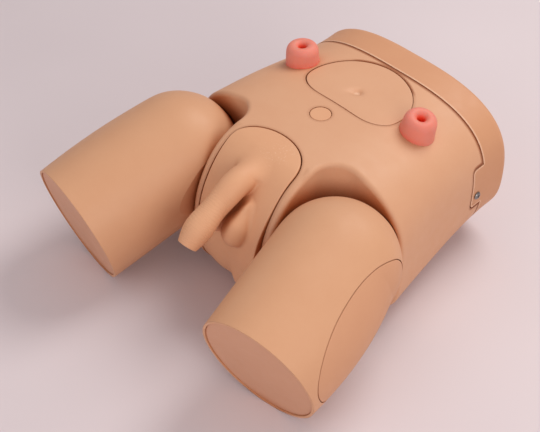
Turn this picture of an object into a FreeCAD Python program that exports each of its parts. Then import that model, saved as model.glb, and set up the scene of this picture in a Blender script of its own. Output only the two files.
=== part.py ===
import FreeCAD, Part
import math
import os

# Urethral catheterisation trainer: a hollow pelvis with two hinged thighs, a soft male insert,
# removable abdominal inlays, two stomas and the fluid parts inside.
# Axes: +X the patient's left, +Y towards the waist, +Z up. It lies on its back on the table, Z = 0.

Vec = FreeCAD.Vector
ORIGIN = Vec(0, 0, 0)
AXIS_X = Vec(1, 0, 0)
AXIS_Y = Vec(0, 1, 0)
AXIS_Z = Vec(0, 0, 1)

# Walls and clearances that every piece shares.
WALL = 5.0
SEAM = 0.9
SEAT_GAP = 0.3
SEAT_DEPTH = 3.2
SEAT_GROW = 7.0
SEAT_REACH = 6.0
FAR = 600.0

# Torso sections from the crotch to the waist: place along Y, half width, top, bottom, height of
# the widest point, fullness of the upper half and of the lower half.
TORSO_SECTIONS = (
    (-75.0, 199.0, 205.0, -1.5, 92.0, 2.5, 4.7),
    (-10.0, 194.5, 207.5, -1.5, 91.0, 2.7, 4.7),
    (55.0, 179.5, 210.5, -1.5, 92.0, 3.0, 4.5),
    (120.0, 168.5, 210.7, -1.0, 95.0, 3.3, 4.0),
    (180.0, 161.8, 208.5, 3.0, 98.0, 3.2, 3.4),
    (236.0, 158.5, 208.0, 6.0, 99.5, 3.0, 2.9),
    (283.0, 162.5, 212.6, 0.5, 101.0, 2.8, 2.3),
)
SECTION_POINTS = 40
OUTLINE_POINTS = 48
WAIST_SEAM_Y = 236.0
WAIST_GAP = 1.6
WAIST_END_Y = 281.0
WAIST_ROUND = 9.0

# Side view of the crotch, from the belly over the pubis and the perineum to the buttocks.
CROTCH_PROFILE = (
    (75.0, 222.0),
    (45.0, 216.5),
    (20.0, 211.3),
    (3.0, 206.5),
    (-12.0, 198.6),
    (-30.0, 181.5),
    (-44.0, 161.0),
    (-55.0, 136.0),
    (-60.5, 108.0),
    (-61.5, 78.0),
    (-56.5, 47.0),
    (-42.0, 19.0),
    (-16.0, 1.0),
    (25.0, -12.0),
)
CROTCH_CROWN = 2.5
CROTCH_SPANS = 3
CROTCH_BLEND_R = 80.0

# Hip joints: centre of the ball-shaped thigh head, its radius and the socket round it.
HIP_X = 138.0
HIP_Y = -17.0
HIP_Z = 130.0
HEAD_R = 79.0
SOCKET_GAP = 2.2
SOCKET_R = HEAD_R + SOCKET_GAP
SOCKET_CROWN_Y = 55.0
SOCKET_WALL_X = 66.0
SOCKET_CORNER_R = 33.0
SOCKET_LIP_R = 6.0

# Thighs: where the cut end is centred, how that end leans, and its half axes.
THIGH_END = Vec(163.6, -166.0, 82.2)
END_YAW = 8.2
END_PITCH = 15.0
END_HALF_WIDTH = 77.5
END_HALF_HEIGHT = 85.0
THIGH_BULGE_OUT = 10.0
THIGH_BULGE_UP = 1.0
THIGH_STATIONS = 8
HEAD_TURNS = (8.0, 23.0, 39.0, 56.0, 73.0)
END_RECESS = 1.6
END_CAP_RIM = 3.2
END_CAP_THICK = 4.0
HUB_FACE_X = 68.6
HUB_WALL = 6.5

# Inlays. Each drops into its own opening in the skin and rests on a ledge behind it.
PLATE_OUTLINE = (
    (0.0, 229.0),
    (33.0, 221.5),
    (53.0, 208.0),
    (67.0, 188.0),
    (73.0, 163.0),
    (69.0, 143.0),
    (50.0, 128.5),
    (22.0, 126.2),
)
INLAY_LOW_Z = 150.0
NAVEL = Vec(0, 170.0, 211.0)
NAVEL_HALF = Vec(10.5, 6.5, 5.5)
PUNCTURE_Y = 97.0
PUNCTURE_R = 13.0
INSERT_HALF_WIDTH = 54.5
INSERT_SIDE_Y = -4.0
INSERT_CROWN = 40.0
INSERT_LOW_Z = 14.0

# Penis: centre line from the root inside the mound to the open tip, as place along Y, height and
# radius. The urethra runs straight from the tip to an elbow and then on to the hose nipple.
SHAFT_LINE = (
    (0.0, 168.0, 24.0),
    (-20.0, 177.0, 20.0),
    (-39.0, 180.5, 17.5),
    (-60.0, 173.5, 16.2),
    (-82.0, 163.0, 15.6),
    (-97.0, 155.0, 17.4),
    (-107.0, 148.5, 17.9),
    (-117.0, 141.0, 15.2),
    (-124.0, 135.0, 12.2),
)
URETHRA_R = 3.0
URETHRA_ELBOW = Vec(0, -48.0, 171.5)
URETHRA_INNER = Vec(0, -6.0, 171.5)
NIPPLE_R = 5.5
NIPPLE_LENGTH = 30.0
SCROTUM_CENTRES = (Vec(13.0, -59.0, 129.5), Vec(-13.0, -57.0, 131.5))
SCROTUM_HALF = Vec(16.5, 22.0, 22.0)
BUTTOCK_CENTRES = (Vec(25.0, -38.0, 50.0), Vec(-25.0, -38.0, 50.0))
BUTTOCK_HALF = Vec(26.0, 25.0, 34.0)
BUTTOCK_BLEND_R = 8.0
SCROTUM_CLEFT_R = 4.0
SHAFT_BLEND_R = 7.0
BLEND_FINDS = 0.02

# Stomas: soft spouts whose necks pass through the belly wall into a collar and a tube.
STOMA_X = 100.0
STOMA_Y = 166.0
STOMA_TOP_Z = 228.5
STOMA_R = 22.0
STOMA_TAPER = 1.2
STOMA_SHOULDER = 9.5
STOMA_SHOULDER_SAG = 0.3
STOMA_LUMEN_R = 4.6
STOMA_FUNNEL_R = 6.2
STOMA_FUNNEL_DEPTH = 6.0
STOMA_FUNNEL_SAG = 1.2
STOMA_NECK_R = 13.0
STOMA_FOOT_Z = 176.0
NECK_FIT = 0.4
COLLAR_R = 20.0
BOWEL_NIPPLE_R = 8.0
BOWEL_NIPPLE_DROP = 15.0

# Waist cap: a tongue on each side reaches past the seam and takes a screw.
TAB_LOW_Z = 83.0
TAB_HIGH_Z = 143.0
TAB_REACH_Y = 215.0
TAB_MIN_X = 110.0
TAB_CORNER_R = 6.0
SPIGOT_LENGTH = 11.0
SPIGOT_THICK = 3.0
CAP_SCREW_Y = 225.0
CAP_SCREW_Z = 100.0
SCREW_R = 2.0
SCREW_HEAD_R = 5.4
SCREW_HEAD_H = 2.8
SCREW_LENGTH = 15.0
SCREW_CROSS = 5.4
SCREW_CROSS_WIDTH = 1.1
SCREW_CROSS_DEPTH = 1.7

# Injection pads on the outer side of the thighs.
PAD_Y = -58.0
PAD_Z = 113.0
PAD_HALF_LENGTH = 92.0
PAD_HALF_HEIGHT = 54.0
PAD_FULLNESS = 2.2
PAD_POINTS = 24
PAD_MIN_X = 150.0

# Hip bolts: each is fixed in its thigh, turns in the socket wall and carries a wing nut inside.
BOLT_R = 5.0
BOLT_RUN = 0.06
BOLT_HEAD_R = 11.0
BOLT_HEAD_H = 5.0
WASHER_R = 15.0
NUT_R = 9.0
NUT_H = 8.0
WING_SPAN = 34.0
WING_THICK = 4.0
WING_RISE = 9.0

# Bladder, bowel bottle and their hoses, all inside the pelvis.
HOSE_WALL = 2.2
HOSE_FIT = 0.1
HOSE_BEND = 40.0
HOSE_GRIP = 11.0
CLIP_THICK = 1.6
CLIP_WIDTH = 5.0
BLADDER_CENTRE = Vec(0, 108.0, 132.0)
BLADDER_HALF = Vec(44.0, 42.0, 34.0)
BLADDER_WALL = 2.5
BLADDER_NECK_R = 9.0
VALVE_FLANGE_R = 11.0
VALVE_FLANGE_LENGTH = 6.0
VALVE_BODY_LENGTH = 8.0
CRADLE_HALF = Vec(24.0, 20.0, 0)
CRADLE_FOOT = 10.0
CRADLE_WALL = 4.0
BOTTLE_CENTRE = Vec(0, 168.0, 52.0)
BOTTLE_R = 33.0
BOTTLE_LENGTH = 170.0
BOTTLE_WALL = 2.5
BOTTLE_ROUND = 9.0
BOTTLE_PORT_X = 52.0
SADDLE_X = 28.0
SADDLE_THICK = 8.0
SADDLE_HALF_WIDTH = 26.0
SADDLE_TOP_Z = 34.0

# Everything is centred over the table along Y between the thigh ends and the waist end.
MIDDLE_Y = 45.3


def mirror_x(shape):
    """Return the shape's mirror image on the other side of the body."""
    return shape.mirror(ORIGIN, AXIS_X)


def both_sides(shape):
    """Return a shape and its mirror image as a list."""
    return [shape, mirror_x(shape)]


def box_between(low, high):
    """Return the box between two opposite corners."""
    size = high - low
    return Part.makeBox(size.x, size.y, size.z, low)


def smooth_closed(points):
    """Return a closed smooth wire through the points."""
    curve = Part.BSplineCurve()
    curve.interpolate(Points=points, PeriodicFlag=True)
    return Part.Wire([curve.toShape()])


def superellipse_radius(angle, half_width, half_height, fullness):
    """Return the distance from the centre to a superellipse at an angle."""
    across = abs(math.cos(angle)) / half_width
    upward = abs(math.sin(angle)) / half_height
    return (across ** fullness + upward ** fullness) ** (-1.0 / fullness)


def torso_section(row, depth):
    """Return one torso section, drawn inwards by the depth."""
    y, half_width, top, bottom, widest, full_up, full_down = row
    points = []
    for i in range(SECTION_POINTS):
        angle = 2 * math.pi * i / SECTION_POINTS - math.pi / 2
        upper = math.sin(angle) >= 0
        half_height = (top - widest if upper else widest - bottom) - depth
        fullness = full_up if upper else full_down
        r = superellipse_radius(angle, half_width - depth, half_height, fullness)
        points.append(Vec(r * math.cos(angle), y, widest + r * math.sin(angle)))
    return smooth_closed(points)


def torso_loft(depth):
    """Return the whole trunk as a smooth solid, its skin drawn inwards by the depth."""
    wires = [torso_section(row, depth) for row in TORSO_SECTIONS]
    return Part.makeLoft(wires, True, False)


def inset_profile(points, depth):
    """Return an open profile's points moved to the right of its direction by the depth."""
    moved = []
    last = len(points) - 1
    for i, (y, z) in enumerate(points):
        before = points[max(i - 1, 0)]
        after = points[min(i + 1, last)]
        run = after[0] - before[0]
        rise = after[1] - before[1]
        length = math.hypot(run, rise)
        moved.append((y - rise / length * depth, z + run / length * depth))
    return moved


def crotch_room(depth):
    """Return the space above the crotch's side view; the crotch is crowned across the body."""
    wires = []
    for i in range(-CROTCH_SPANS, CROTCH_SPANS + 1):
        x = i * SOCKET_WALL_X
        outline = inset_profile(CROTCH_PROFILE, depth + CROTCH_CROWN * i * i)
        points = [Vec(x, y, z) for y, z in outline]
        curve = Part.BSplineCurve()
        curve.interpolate(Points=points)
        first, last = points[0], points[-1]
        closing = Part.makePolygon([last, Vec(x, FAR, last.z), Vec(x, FAR, first.z), first])
        wires.append(Part.Wire([curve.toShape()] + closing.Edges))
    return Part.makeLoft(wires, True, False)


def socket_room(depth):
    """Return the left hip socket's upright room, its walls pushed outwards by the depth."""
    wall_x = SOCKET_WALL_X - depth
    crown_y = SOCKET_CROWN_Y + depth
    corner = Vec(wall_x + SOCKET_CORNER_R, crown_y - SOCKET_CORNER_R, 0)
    slant = math.sqrt(0.5) * SOCKET_CORNER_R
    foot_y = -FAR / 2
    side_x = FAR / 2
    edges = [
        Part.makeLine(Vec(wall_x, foot_y, 0), Vec(wall_x, corner.y, 0)),
        Part.Arc(
            Vec(wall_x, corner.y, 0),
            Vec(corner.x - slant, corner.y + slant, 0),
            Vec(corner.x, crown_y, 0),
        ).toShape(),
        Part.makeLine(Vec(corner.x, crown_y, 0), Vec(side_x, crown_y, 0)),
        Part.makeLine(Vec(side_x, crown_y, 0), Vec(side_x, foot_y, 0)),
        Part.makeLine(Vec(side_x, foot_y, 0), Vec(wall_x, foot_y, 0)),
    ]
    bar = Part.Face(Part.Wire(edges)).extrude(Vec(0, 0, FAR))
    bar.translate(Vec(0, 0, -FAR / 4))
    return bar


def socket_cup(depth):
    """Return the left socket's hollow for the ball of the thigh, in the wall behind its room."""
    ball = Part.makeSphere(SOCKET_R + depth, Vec(HIP_X, HIP_Y, HIP_Z))
    return ball.common(slab(SOCKET_CROWN_Y - WALL, FAR))


def slab(low_y, high_y):
    """Return the space between two planes square to the body's length."""
    return box_between(Vec(-FAR, low_y, -FAR), Vec(FAR, high_y, FAR))


def trunk_block(depth):
    """Return the trunk's solid with both socket rooms open, its skin drawn inwards by the depth."""
    body = torso_loft(depth).common(crotch_room(depth))
    return body.cut(both_sides(socket_room(depth)))


def above_floor(shape, depth):
    """Return the part of a shape above the table, or above a depth from it."""
    return shape.common(box_between(Vec(-FAR, -FAR, depth), Vec(FAR, FAR, FAR)))


def belly(depth):
    """Return the trunk's solid with no sockets, its skin drawn inwards by the depth."""
    return above_floor(torso_loft(depth).common(crotch_room(depth)), depth)


def trunk(depth):
    """Return the trunk's solid with both sockets complete."""
    return above_floor(trunk_block(depth), depth).cut(both_sides(socket_cup(depth)))


def smooth_outline(points, grow):
    """Return the smooth closed outline through the points, moved outwards by the growth."""
    curve = Part.BSplineCurve()
    curve.interpolate(Points=points, PeriodicFlag=True)
    if grow == 0:
        return Part.Wire([curve.toShape()])
    middle = sum(points, Vec()) * (1.0 / len(points))
    span = curve.LastParameter - curve.FirstParameter
    moved = []
    for i in range(OUTLINE_POINTS):
        place = curve.FirstParameter + span * i / OUTLINE_POINTS
        point = curve.value(place)
        tangent = curve.tangent(place)[0]
        radial = point - middle
        outward = (radial - tangent * radial.dot(tangent)).normalize()
        moved.append(point + outward * grow)
    return smooth_closed(moved)


def upright_bar(wire, low_z):
    """Return the column above a height, with the outline of a wire drawn in the floor plane."""
    bar = Part.Face(wire).extrude(Vec(0, 0, FAR))
    bar.translate(Vec(0, 0, low_z))
    return bar


def plate_bar(amount):
    """Return the column of the abdominal plate's outline, grown by the amount."""
    right = [Vec(x, y, 0) for x, y in PLATE_OUTLINE]
    left = [Vec(-x, y, 0) for x, y in reversed(PLATE_OUTLINE[1:])]
    return upright_bar(smooth_outline(right + left, amount), INLAY_LOW_Z)


def puncture_bar(amount):
    """Return the column of the suprapubic pad's round outline, grown by the amount."""
    return Part.makeCylinder(PUNCTURE_R + amount, FAR, Vec(0, PUNCTURE_Y, INLAY_LOW_Z))


def insert_bar(amount):
    """Return the column of the male insert's outline, grown by the amount."""
    half = INSERT_HALF_WIDTH + amount
    rise = INSERT_CROWN + amount
    foot = -FAR / 2
    centre = Vec(0, INSERT_SIDE_Y, 0)
    oval = Part.Ellipse(Vec(half, INSERT_SIDE_Y, 0), Vec(0, INSERT_SIDE_Y + rise, 0), centre)
    edges = [
        Part.makeLine(Vec(half, foot, 0), Vec(half, INSERT_SIDE_Y, 0)),
        oval.toShape(0, math.pi),
        Part.makeLine(Vec(-half, INSERT_SIDE_Y, 0), Vec(-half, foot, 0)),
        Part.makeLine(Vec(-half, foot, 0), Vec(half, foot, 0)),
    ]
    return upright_bar(Part.Wire(edges), INSERT_LOW_Z - amount)


def tab_bar(amount):
    """Return the sideways bar of the left tongue's outline, grown by the amount."""
    reach = TAB_REACH_Y - amount
    low = Vec(TAB_MIN_X, reach, TAB_LOW_Z - amount)
    bar = box_between(low, Vec(FAR, WAIST_END_Y, TAB_HIGH_Z + amount))
    corners = [e for e in bar.Edges if e.BoundBox.XLength > 1 and e.BoundBox.YMax < reach + 0.1]
    return bar.makeFillet(TAB_CORNER_R + amount, corners)


def pad_bar(amount):
    """Return the sideways bar of the left injection pad's outline, grown by the amount."""
    slope = math.atan2(HIP_Z - THIGH_END.z, HIP_Y - THIGH_END.y)
    along = Vec(0, -math.cos(slope), -math.sin(slope))
    upward = Vec(0, -math.sin(slope), math.cos(slope))
    points = []
    for i in range(PAD_POINTS):
        angle = 2 * math.pi * i / PAD_POINTS
        r = superellipse_radius(angle, PAD_HALF_LENGTH, PAD_HALF_HEIGHT, PAD_FULLNESS)
        place = along * (r * math.cos(angle)) + upward * (r * math.sin(angle))
        points.append(Vec(PAD_MIN_X, PAD_Y, PAD_Z) + place)
    return Part.Face(smooth_outline(points, amount)).extrude(Vec(FAR, 0, 0))


def ledge(layer, bar):
    """Return the ledge behind an opening: the part of a layer near the outline's edge."""
    return layer.common(bar(SEAT_GROW)).cut(bar(-SEAT_REACH))


def revolve(profile, base, axis):
    """Return the solid turned by a profile of radius and length pairs about an axis."""
    points = [Vec(r, 0, h) for r, h in profile]
    wire = Part.makePolygon(points + [points[0]])
    solid = Part.Face(wire).revolve(ORIGIN, AXIS_Z, 360)
    solid.Placement = FreeCAD.Placement(base, FreeCAD.Rotation(AXIS_Z, axis))
    return solid


def pipe(points, outer_r, inner_r):
    """Return a hose through the points, straight in its first and last lengths."""
    curve = Part.BSplineCurve()
    start = (points[1] - points[0]).normalize()
    finish = (points[-1] - points[-2]).normalize()
    curve.interpolate(Points=points[1:-1], InitialTangent=start * HOSE_BEND, FinalTangent=finish * HOSE_BEND)
    first = Part.makeLine(points[0], points[1])
    last = Part.makeLine(points[-2], points[-1])
    path = Part.Wire([first, curve.toShape(), last])
    hoses = []
    for r in (outer_r, inner_r):
        ring = Part.Wire([Part.makeCircle(r, points[0], start)])
        hoses.append(path.makePipeShell([ring], True, False))
    return hoses[0].cut(hoses[1])


def ring_on(start, finish, outer_r, inner_r):
    """Return a plain ring between two points of its axis."""
    run = finish - start
    outer = Part.makeCylinder(outer_r, run.Length, start, run)
    return outer.cut(Part.makeCylinder(inner_r, run.Length, start, run))


def ellipsoid(centre, half):
    """Return an ellipsoid with its half axes along X, Y and Z."""
    ball = Part.makeSphere(1.0)
    matrix = FreeCAD.Matrix()
    matrix.scale(half)
    shape = ball.transformGeometry(matrix)
    shape.translate(centre)
    return shape


def blended_block():
    """Return the trunk block with the belly flowing into the crotch."""
    body = trunk_block(0.0)
    crest = []
    for edge in body.Edges:
        box = edge.BoundBox
        across = box.XMax < SOCKET_WALL_X + 1 and box.XLength > SOCKET_WALL_X
        if across and box.ZMin > HIP_Z:
            crest.append(edge)
    return body.makeFillet(CROTCH_BLEND_R, crest)


def trunk_plain(block):
    """Return the outer form of the trunk with sharp socket lips."""
    return above_floor(block, 0.0).cut(both_sides(socket_cup(0.0)))


def trunk_skin(block):
    """Return the outer form of the trunk with the lips of its sockets rounded."""
    lips = []
    for face in block.Faces:
        box = face.BoundBox
        side_x = abs(box.Center.x)
        medial = box.XLength < 0.1
        crown = box.YLength < 0.1 and box.YMax < SOCKET_CROWN_Y + 1
        corner = face.Surface.TypeId == "Part::GeomCylinder"
        if side_x > SOCKET_WALL_X - 1 and (medial or crown or corner):
            for edge in face.Edges:
                if edge.BoundBox.XLength > 0.1 or edge.BoundBox.YLength > 0.1:
                    lips.append(edge)
    return trunk_plain(block.makeFillet(SOCKET_LIP_R, lips))


def stoma_axis_rod(radius, side):
    """Return the upright rod through the belly wall on a stoma's axis."""
    return Part.makeCylinder(radius, FAR, Vec(side * STOMA_X, STOMA_Y, INLAY_LOW_Z))


def torso_shell(skin, cavity, shelf, layer):
    """Return the open-ended torso shell with its ledges, inlay openings and fixing holes."""
    shell = skin.cut(cavity)
    inlays = (plate_bar, puncture_bar, insert_bar)
    ledges = [ledge(layer, bar) for bar in inlays]
    backing = layer.common(tab_bar(SEAT_GROW))
    shell = shell.fuse(ledges + both_sides(backing))
    shell = shell.common(slab(-FAR, WAIST_SEAM_Y - WAIST_GAP))
    openings = [bar(SEAM).cut(shelf) for bar in inlays]
    openings += both_sides(tab_bar(WAIST_GAP).cut(shelf))
    holes = [stoma_axis_rod(STOMA_NECK_R + NECK_FIT, side) for side in (1, -1)]
    pilot = Part.makeCylinder(SCREW_R + BOLT_RUN, FAR, Vec(TAB_MIN_X, CAP_SCREW_Y, CAP_SCREW_Z), AXIS_X)
    bolt = Part.makeCylinder(BOLT_R + BOLT_RUN, WALL * 3, Vec(SOCKET_WALL_X - WALL * 2, HIP_Y, HIP_Z), AXIS_X)
    return shell.cut(openings + holes + both_sides(pilot) + both_sides(bolt))


def left_half(shape):
    """Return the part of a shape on the patient's left."""
    return shape.common(box_between(Vec(0, -FAR, -FAR), Vec(FAR, FAR, FAR)))


def waist_cap():
    """Return the cap that closes the waist, with its spigot and its two screwed tongues."""
    plain = left_half(torso_loft(0.0).common(slab(SOCKET_CROWN_Y, WAIST_END_Y)))
    ends = [edge for edge in plain.Edges if edge.BoundBox.YMin > WAIST_END_Y - 1]
    rim = [edge for edge in ends if edge.BoundBox.XLength > 1]
    wall = plain.makeFillet(WAIST_ROUND, rim).cut(torso_loft(WALL).common(slab(-FAR, WAIST_END_Y - WALL)))
    hole = Part.makeCylinder(SCREW_R + SEAT_GAP, FAR, Vec(TAB_MIN_X, CAP_SCREW_Y, CAP_SCREW_Z), AXIS_X)
    tongue = wall.common(tab_bar(0).cut(hole))
    inner_depth = WALL + NECK_FIT + SPIGOT_THICK
    spigot = left_half(layer_between(WALL + NECK_FIT, inner_depth))
    spigot = spigot.common(slab(WAIST_SEAM_Y - SPIGOT_LENGTH, WAIST_SEAM_Y + SPIGOT_THICK))
    low = Vec(TAB_MIN_X, 0, TAB_LOW_Z - 2 * WALL)
    spigot = spigot.cut(box_between(low, Vec(FAR, WAIST_SEAM_Y, TAB_HIGH_Z + 2 * WALL)))
    spigot = spigot.cut(plate_bar(SEAT_GROW + NECK_FIT))
    root = left_half(layer_between(WALL - 1, inner_depth))
    root = root.common(slab(WAIST_SEAM_Y, WAIST_SEAM_Y + SPIGOT_THICK))
    half = wall.common(slab(WAIST_SEAM_Y, FAR)).fuse([tongue, spigot, root])
    return half.fuse(mirror_x(half))


def layer_between(outer_depth, inner_depth):
    """Return the part of the trunk between two depths below its skin, sockets left out."""
    return torso_loft(outer_depth).cut(torso_loft(inner_depth))


def skin_x(skin, y, z):
    """Return where a sideways line at a place meets the trunk's left skin."""
    line = Part.makeLine(Vec(TAB_MIN_X, y, z), Vec(FAR, y, z))
    return skin.common(line).BoundBox.XMax


def cap_screws(skin):
    """Return the pair of cross-headed screws that hold the waist cap."""
    seat_x = skin_x(skin, CAP_SCREW_Y, CAP_SCREW_Z) + SEAT_GAP
    seat = Vec(seat_x, CAP_SCREW_Y, CAP_SCREW_Z)
    edge = SCREW_HEAD_H * 0.45
    profile = (
        (0, 0),
        (SCREW_HEAD_R, 0),
        (SCREW_HEAD_R, edge),
        (SCREW_HEAD_R * 0.8, SCREW_HEAD_H * 0.85),
        (SCREW_HEAD_R * 0.45, SCREW_HEAD_H),
        (0, SCREW_HEAD_H),
    )
    head = revolve(profile, seat, AXIS_X)
    shank = Part.makeCylinder(SCREW_R, SCREW_LENGTH, seat, AXIS_X * -1)
    half = SCREW_CROSS / 2
    thin = SCREW_CROSS_WIDTH / 2
    floor_x = seat_x + SCREW_HEAD_H - SCREW_CROSS_DEPTH
    middle = Vec(floor_x, CAP_SCREW_Y, CAP_SCREW_Z)
    slots = []
    for wide, tall in ((half, thin), (thin, half)):
        slots.append(box_between(middle - Vec(0, wide, tall), middle + Vec(SCREW_HEAD_H, wide, tall)))
    return Part.makeCompound(both_sides(head.fuse(shank).cut(slots)))


def abdomen_plate(skin, cavity):
    """Return the removable belly plate with its navel."""
    plate = skin.cut(cavity).common(plate_bar(0))
    return plate.cut(ellipsoid(NAVEL, NAVEL_HALF))


def suprapubic_pad(skin, cavity):
    """Return the round puncture pad above the pubis."""
    return skin.cut(cavity).common(puncture_bar(0))


def shaft():
    """Return the penis as a smooth loft of rings along its centre line."""
    rings = []
    last = len(SHAFT_LINE) - 1
    for i, (y, z, r) in enumerate(SHAFT_LINE):
        ahead = SHAFT_LINE[min(i + 1, last)]
        behind = SHAFT_LINE[max(i - 1, 0)]
        heading = Vec(0, ahead[0] - behind[0], ahead[1] - behind[1])
        rings.append(Part.Wire([Part.makeCircle(r, Vec(0, y, z), heading)]))
    return Part.makeLoft(rings, True, False)


def blend(body, form, radius):
    """Return two solids as one, with a smooth run of the radius where they meet."""
    seams = form.section(body).Edges
    joined = body.fuse(form)
    meeting = []
    for edge in joined.Edges:
        middle = edge.valueAt((edge.FirstParameter + edge.LastParameter) / 2)
        spot = Part.Vertex(middle)
        if any(seam.distToShape(spot)[0] < BLEND_FINDS for seam in seams):
            meeting.append(edge)
    return joined.makeFillet(radius, meeting)


def scrotum():
    """Return the two lobes of the scrotum as one solid with a soft cleft."""
    left, right = [ellipsoid(centre, SCROTUM_HALF) for centre in SCROTUM_CENTRES]
    return blend(left, right, SCROTUM_CLEFT_R)


def shaft_tip():
    """Return the middle of the penis tip's opening."""
    return Vec(0, SHAFT_LINE[-1][0], SHAFT_LINE[-1][1])


def urethra_room():
    """Return the channel from the tip to the elbow and on to the nipple's end."""
    heading = (URETHRA_ELBOW - shaft_tip()).normalize()
    start = shaft_tip() - heading * WALL
    length = (URETHRA_ELBOW - start).Length
    front = Part.makeCylinder(URETHRA_R, length, start, heading)
    back = Part.makeCylinder(URETHRA_R, FAR / 4, URETHRA_ELBOW, AXIS_Y)
    return front.fuse([Part.makeSphere(URETHRA_R, URETHRA_ELBOW), back])


def male_insert(skin, cavity):
    """Return the soft insert, with penis, scrotum and urethra in one moulding."""
    body = skin.common(insert_bar(0))
    for centre in BUTTOCK_CENTRES:
        body = blend(body, ellipsoid(centre, BUTTOCK_HALF), BUTTOCK_BLEND_R)
    body = blend(body, shaft(), SHAFT_BLEND_R)
    body = body.fuse(scrotum()).cut(cavity).common(insert_bar(0))
    nipple_start = URETHRA_INNER - AXIS_Y * NIPPLE_LENGTH
    nipple = Part.makeCylinder(NIPPLE_R, NIPPLE_LENGTH, nipple_start, AXIS_Y)
    return body.fuse(nipple).cut(urethra_room())


def stoma(skin_out, side):
    """Return one stoma: a soft spout with a rounded lip, its neck and its hose nipple."""
    foot = STOMA_FOOT_Z
    top = STOMA_TOP_Z
    side_r = STOMA_R - STOMA_TAPER
    edges = [
        Part.makeLine(Vec(STOMA_LUMEN_R, 0, foot), Vec(STOMA_R, 0, foot)),
        Part.makeLine(Vec(STOMA_R, 0, foot), Vec(side_r, 0, top - STOMA_SHOULDER)),
        Part.Arc(
            Vec(side_r, 0, top - STOMA_SHOULDER),
            Vec(side_r - STOMA_SHOULDER * STOMA_SHOULDER_SAG, 0, top - STOMA_SHOULDER * STOMA_SHOULDER_SAG),
            Vec(side_r - STOMA_SHOULDER, 0, top),
        ).toShape(),
        Part.Arc(
            Vec(side_r - STOMA_SHOULDER, 0, top),
            Vec(STOMA_FUNNEL_R, 0, top - STOMA_FUNNEL_SAG),
            Vec(STOMA_LUMEN_R, 0, top - STOMA_FUNNEL_DEPTH),
        ).toShape(),
        Part.makeLine(Vec(STOMA_LUMEN_R, 0, top - STOMA_FUNNEL_DEPTH), Vec(STOMA_LUMEN_R, 0, foot)),
    ]
    spout = Part.Face(Part.Wire(edges)).revolve(ORIGIN, AXIS_Z, 360)
    spout.translate(Vec(side * STOMA_X, STOMA_Y, 0))
    spout = spout.cut(skin_out)
    foot_place = Vec(side * STOMA_X, STOMA_Y, foot)
    neck = Part.makeCylinder(STOMA_NECK_R, top - STOMA_SHOULDER * 1.5 - foot, foot_place)
    drop = Vec(0, 0, BOWEL_NIPPLE_DROP)
    nipple = Part.makeCylinder(BOWEL_NIPPLE_R, BOWEL_NIPPLE_DROP + 1, foot_place - drop)
    lumen = Part.makeCylinder(STOMA_LUMEN_R, FAR, foot_place - drop * 2)
    return spout.fuse([neck, nipple]).cut(lumen)


def stoma_collars(shelf):
    """Return the pair of rings that grip the stoma necks behind the belly wall."""
    rings = []
    for side in (1, -1):
        foot = Vec(side * STOMA_X, STOMA_Y, STOMA_FOOT_Z)
        ring = Part.makeCylinder(COLLAR_R, FAR / 4, foot).cut(Part.makeCylinder(STOMA_NECK_R + SEAT_GAP, FAR, foot))
        rings.append(ring.common(shelf))
    return Part.makeCompound(rings)


def thigh_frame(share):
    """Return the heading, sideways and upward directions at a share of the thigh's length."""
    run = THIGH_END - Vec(HIP_X, HIP_Y, HIP_Z)
    yaw = math.atan2(run.x, -run.y)
    pitch = math.asin(-run.z / run.Length)
    yaw += (math.radians(END_YAW) - yaw) * share
    pitch += (math.radians(END_PITCH) - pitch) * share
    heading = Vec(math.sin(yaw) * math.cos(pitch), -math.cos(yaw) * math.cos(pitch), -math.sin(pitch))
    sideways = Vec(math.cos(yaw), math.sin(yaw), 0)
    return heading, sideways, heading.cross(sideways)


def head_section(turn, depth):
    """Return one ring of the left thigh's ball-shaped head, at an angle from its pole."""
    heading, sideways, upward = thigh_frame(0)
    r = HEAD_R - depth
    centre = Vec(HIP_X, HIP_Y, HIP_Z) - heading * (r * math.cos(turn))
    return ring_of_points(centre, sideways, upward, lambda angle: (r * math.sin(turn), r * math.sin(turn)))


def thigh_section(share, depth):
    """Return one ring of the left thigh's shank, drawn inwards by the depth."""
    centre = Vec(HIP_X, HIP_Y, HIP_Z) * (1 - share) + THIGH_END * share
    sideways, upward = thigh_frame(share)[1:]
    swell = 4 * share * (1 - share)
    across = HEAD_R + (END_HALF_WIDTH - HEAD_R) * share - depth
    tall = HEAD_R + (END_HALF_HEIGHT - HEAD_R) * share + THIGH_BULGE_UP * swell - depth

    def half_axes(angle):
        bulge = THIGH_BULGE_OUT * max(math.cos(angle), 0) ** 2 * swell
        return across + bulge, tall

    return ring_of_points(centre, sideways, upward, half_axes)


def ring_of_points(centre, sideways, upward, half_axes):
    """Return a smooth ring about a centre from its half axes at each angle."""
    points = []
    for i in range(SECTION_POINTS):
        angle = 2 * math.pi * i / SECTION_POINTS
        across, tall = half_axes(angle)
        place = sideways * (across * math.cos(angle)) + upward * (tall * math.sin(angle))
        points.append(centre + place)
    return smooth_closed(points)


def thigh_form(depth):
    """Return the left thigh as a solid: ball-shaped head, shank and the flat face of its hub."""
    rings = [head_section(math.radians(turn), depth) for turn in HEAD_TURNS]
    shares = [i / (THIGH_STATIONS - 1) for i in range(THIGH_STATIONS)]
    rings += [thigh_section(share, depth) for share in shares]
    face_x = HUB_FACE_X + (HUB_WALL if depth > 0 else 0)
    beyond = box_between(Vec(face_x, -FAR, -FAR), Vec(FAR, FAR, FAR))
    return Part.makeLoft(rings, True, False).common(beyond)


def end_slice(inset, start, thick):
    """Return a slice of the thigh's end outline, drawn inwards, at a distance from the end."""
    heading = thigh_frame(1)[0]
    face = Part.Face(thigh_section(1, inset))
    piece = face.extrude(heading * -thick)
    piece.translate(heading * -start)
    return piece


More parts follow.
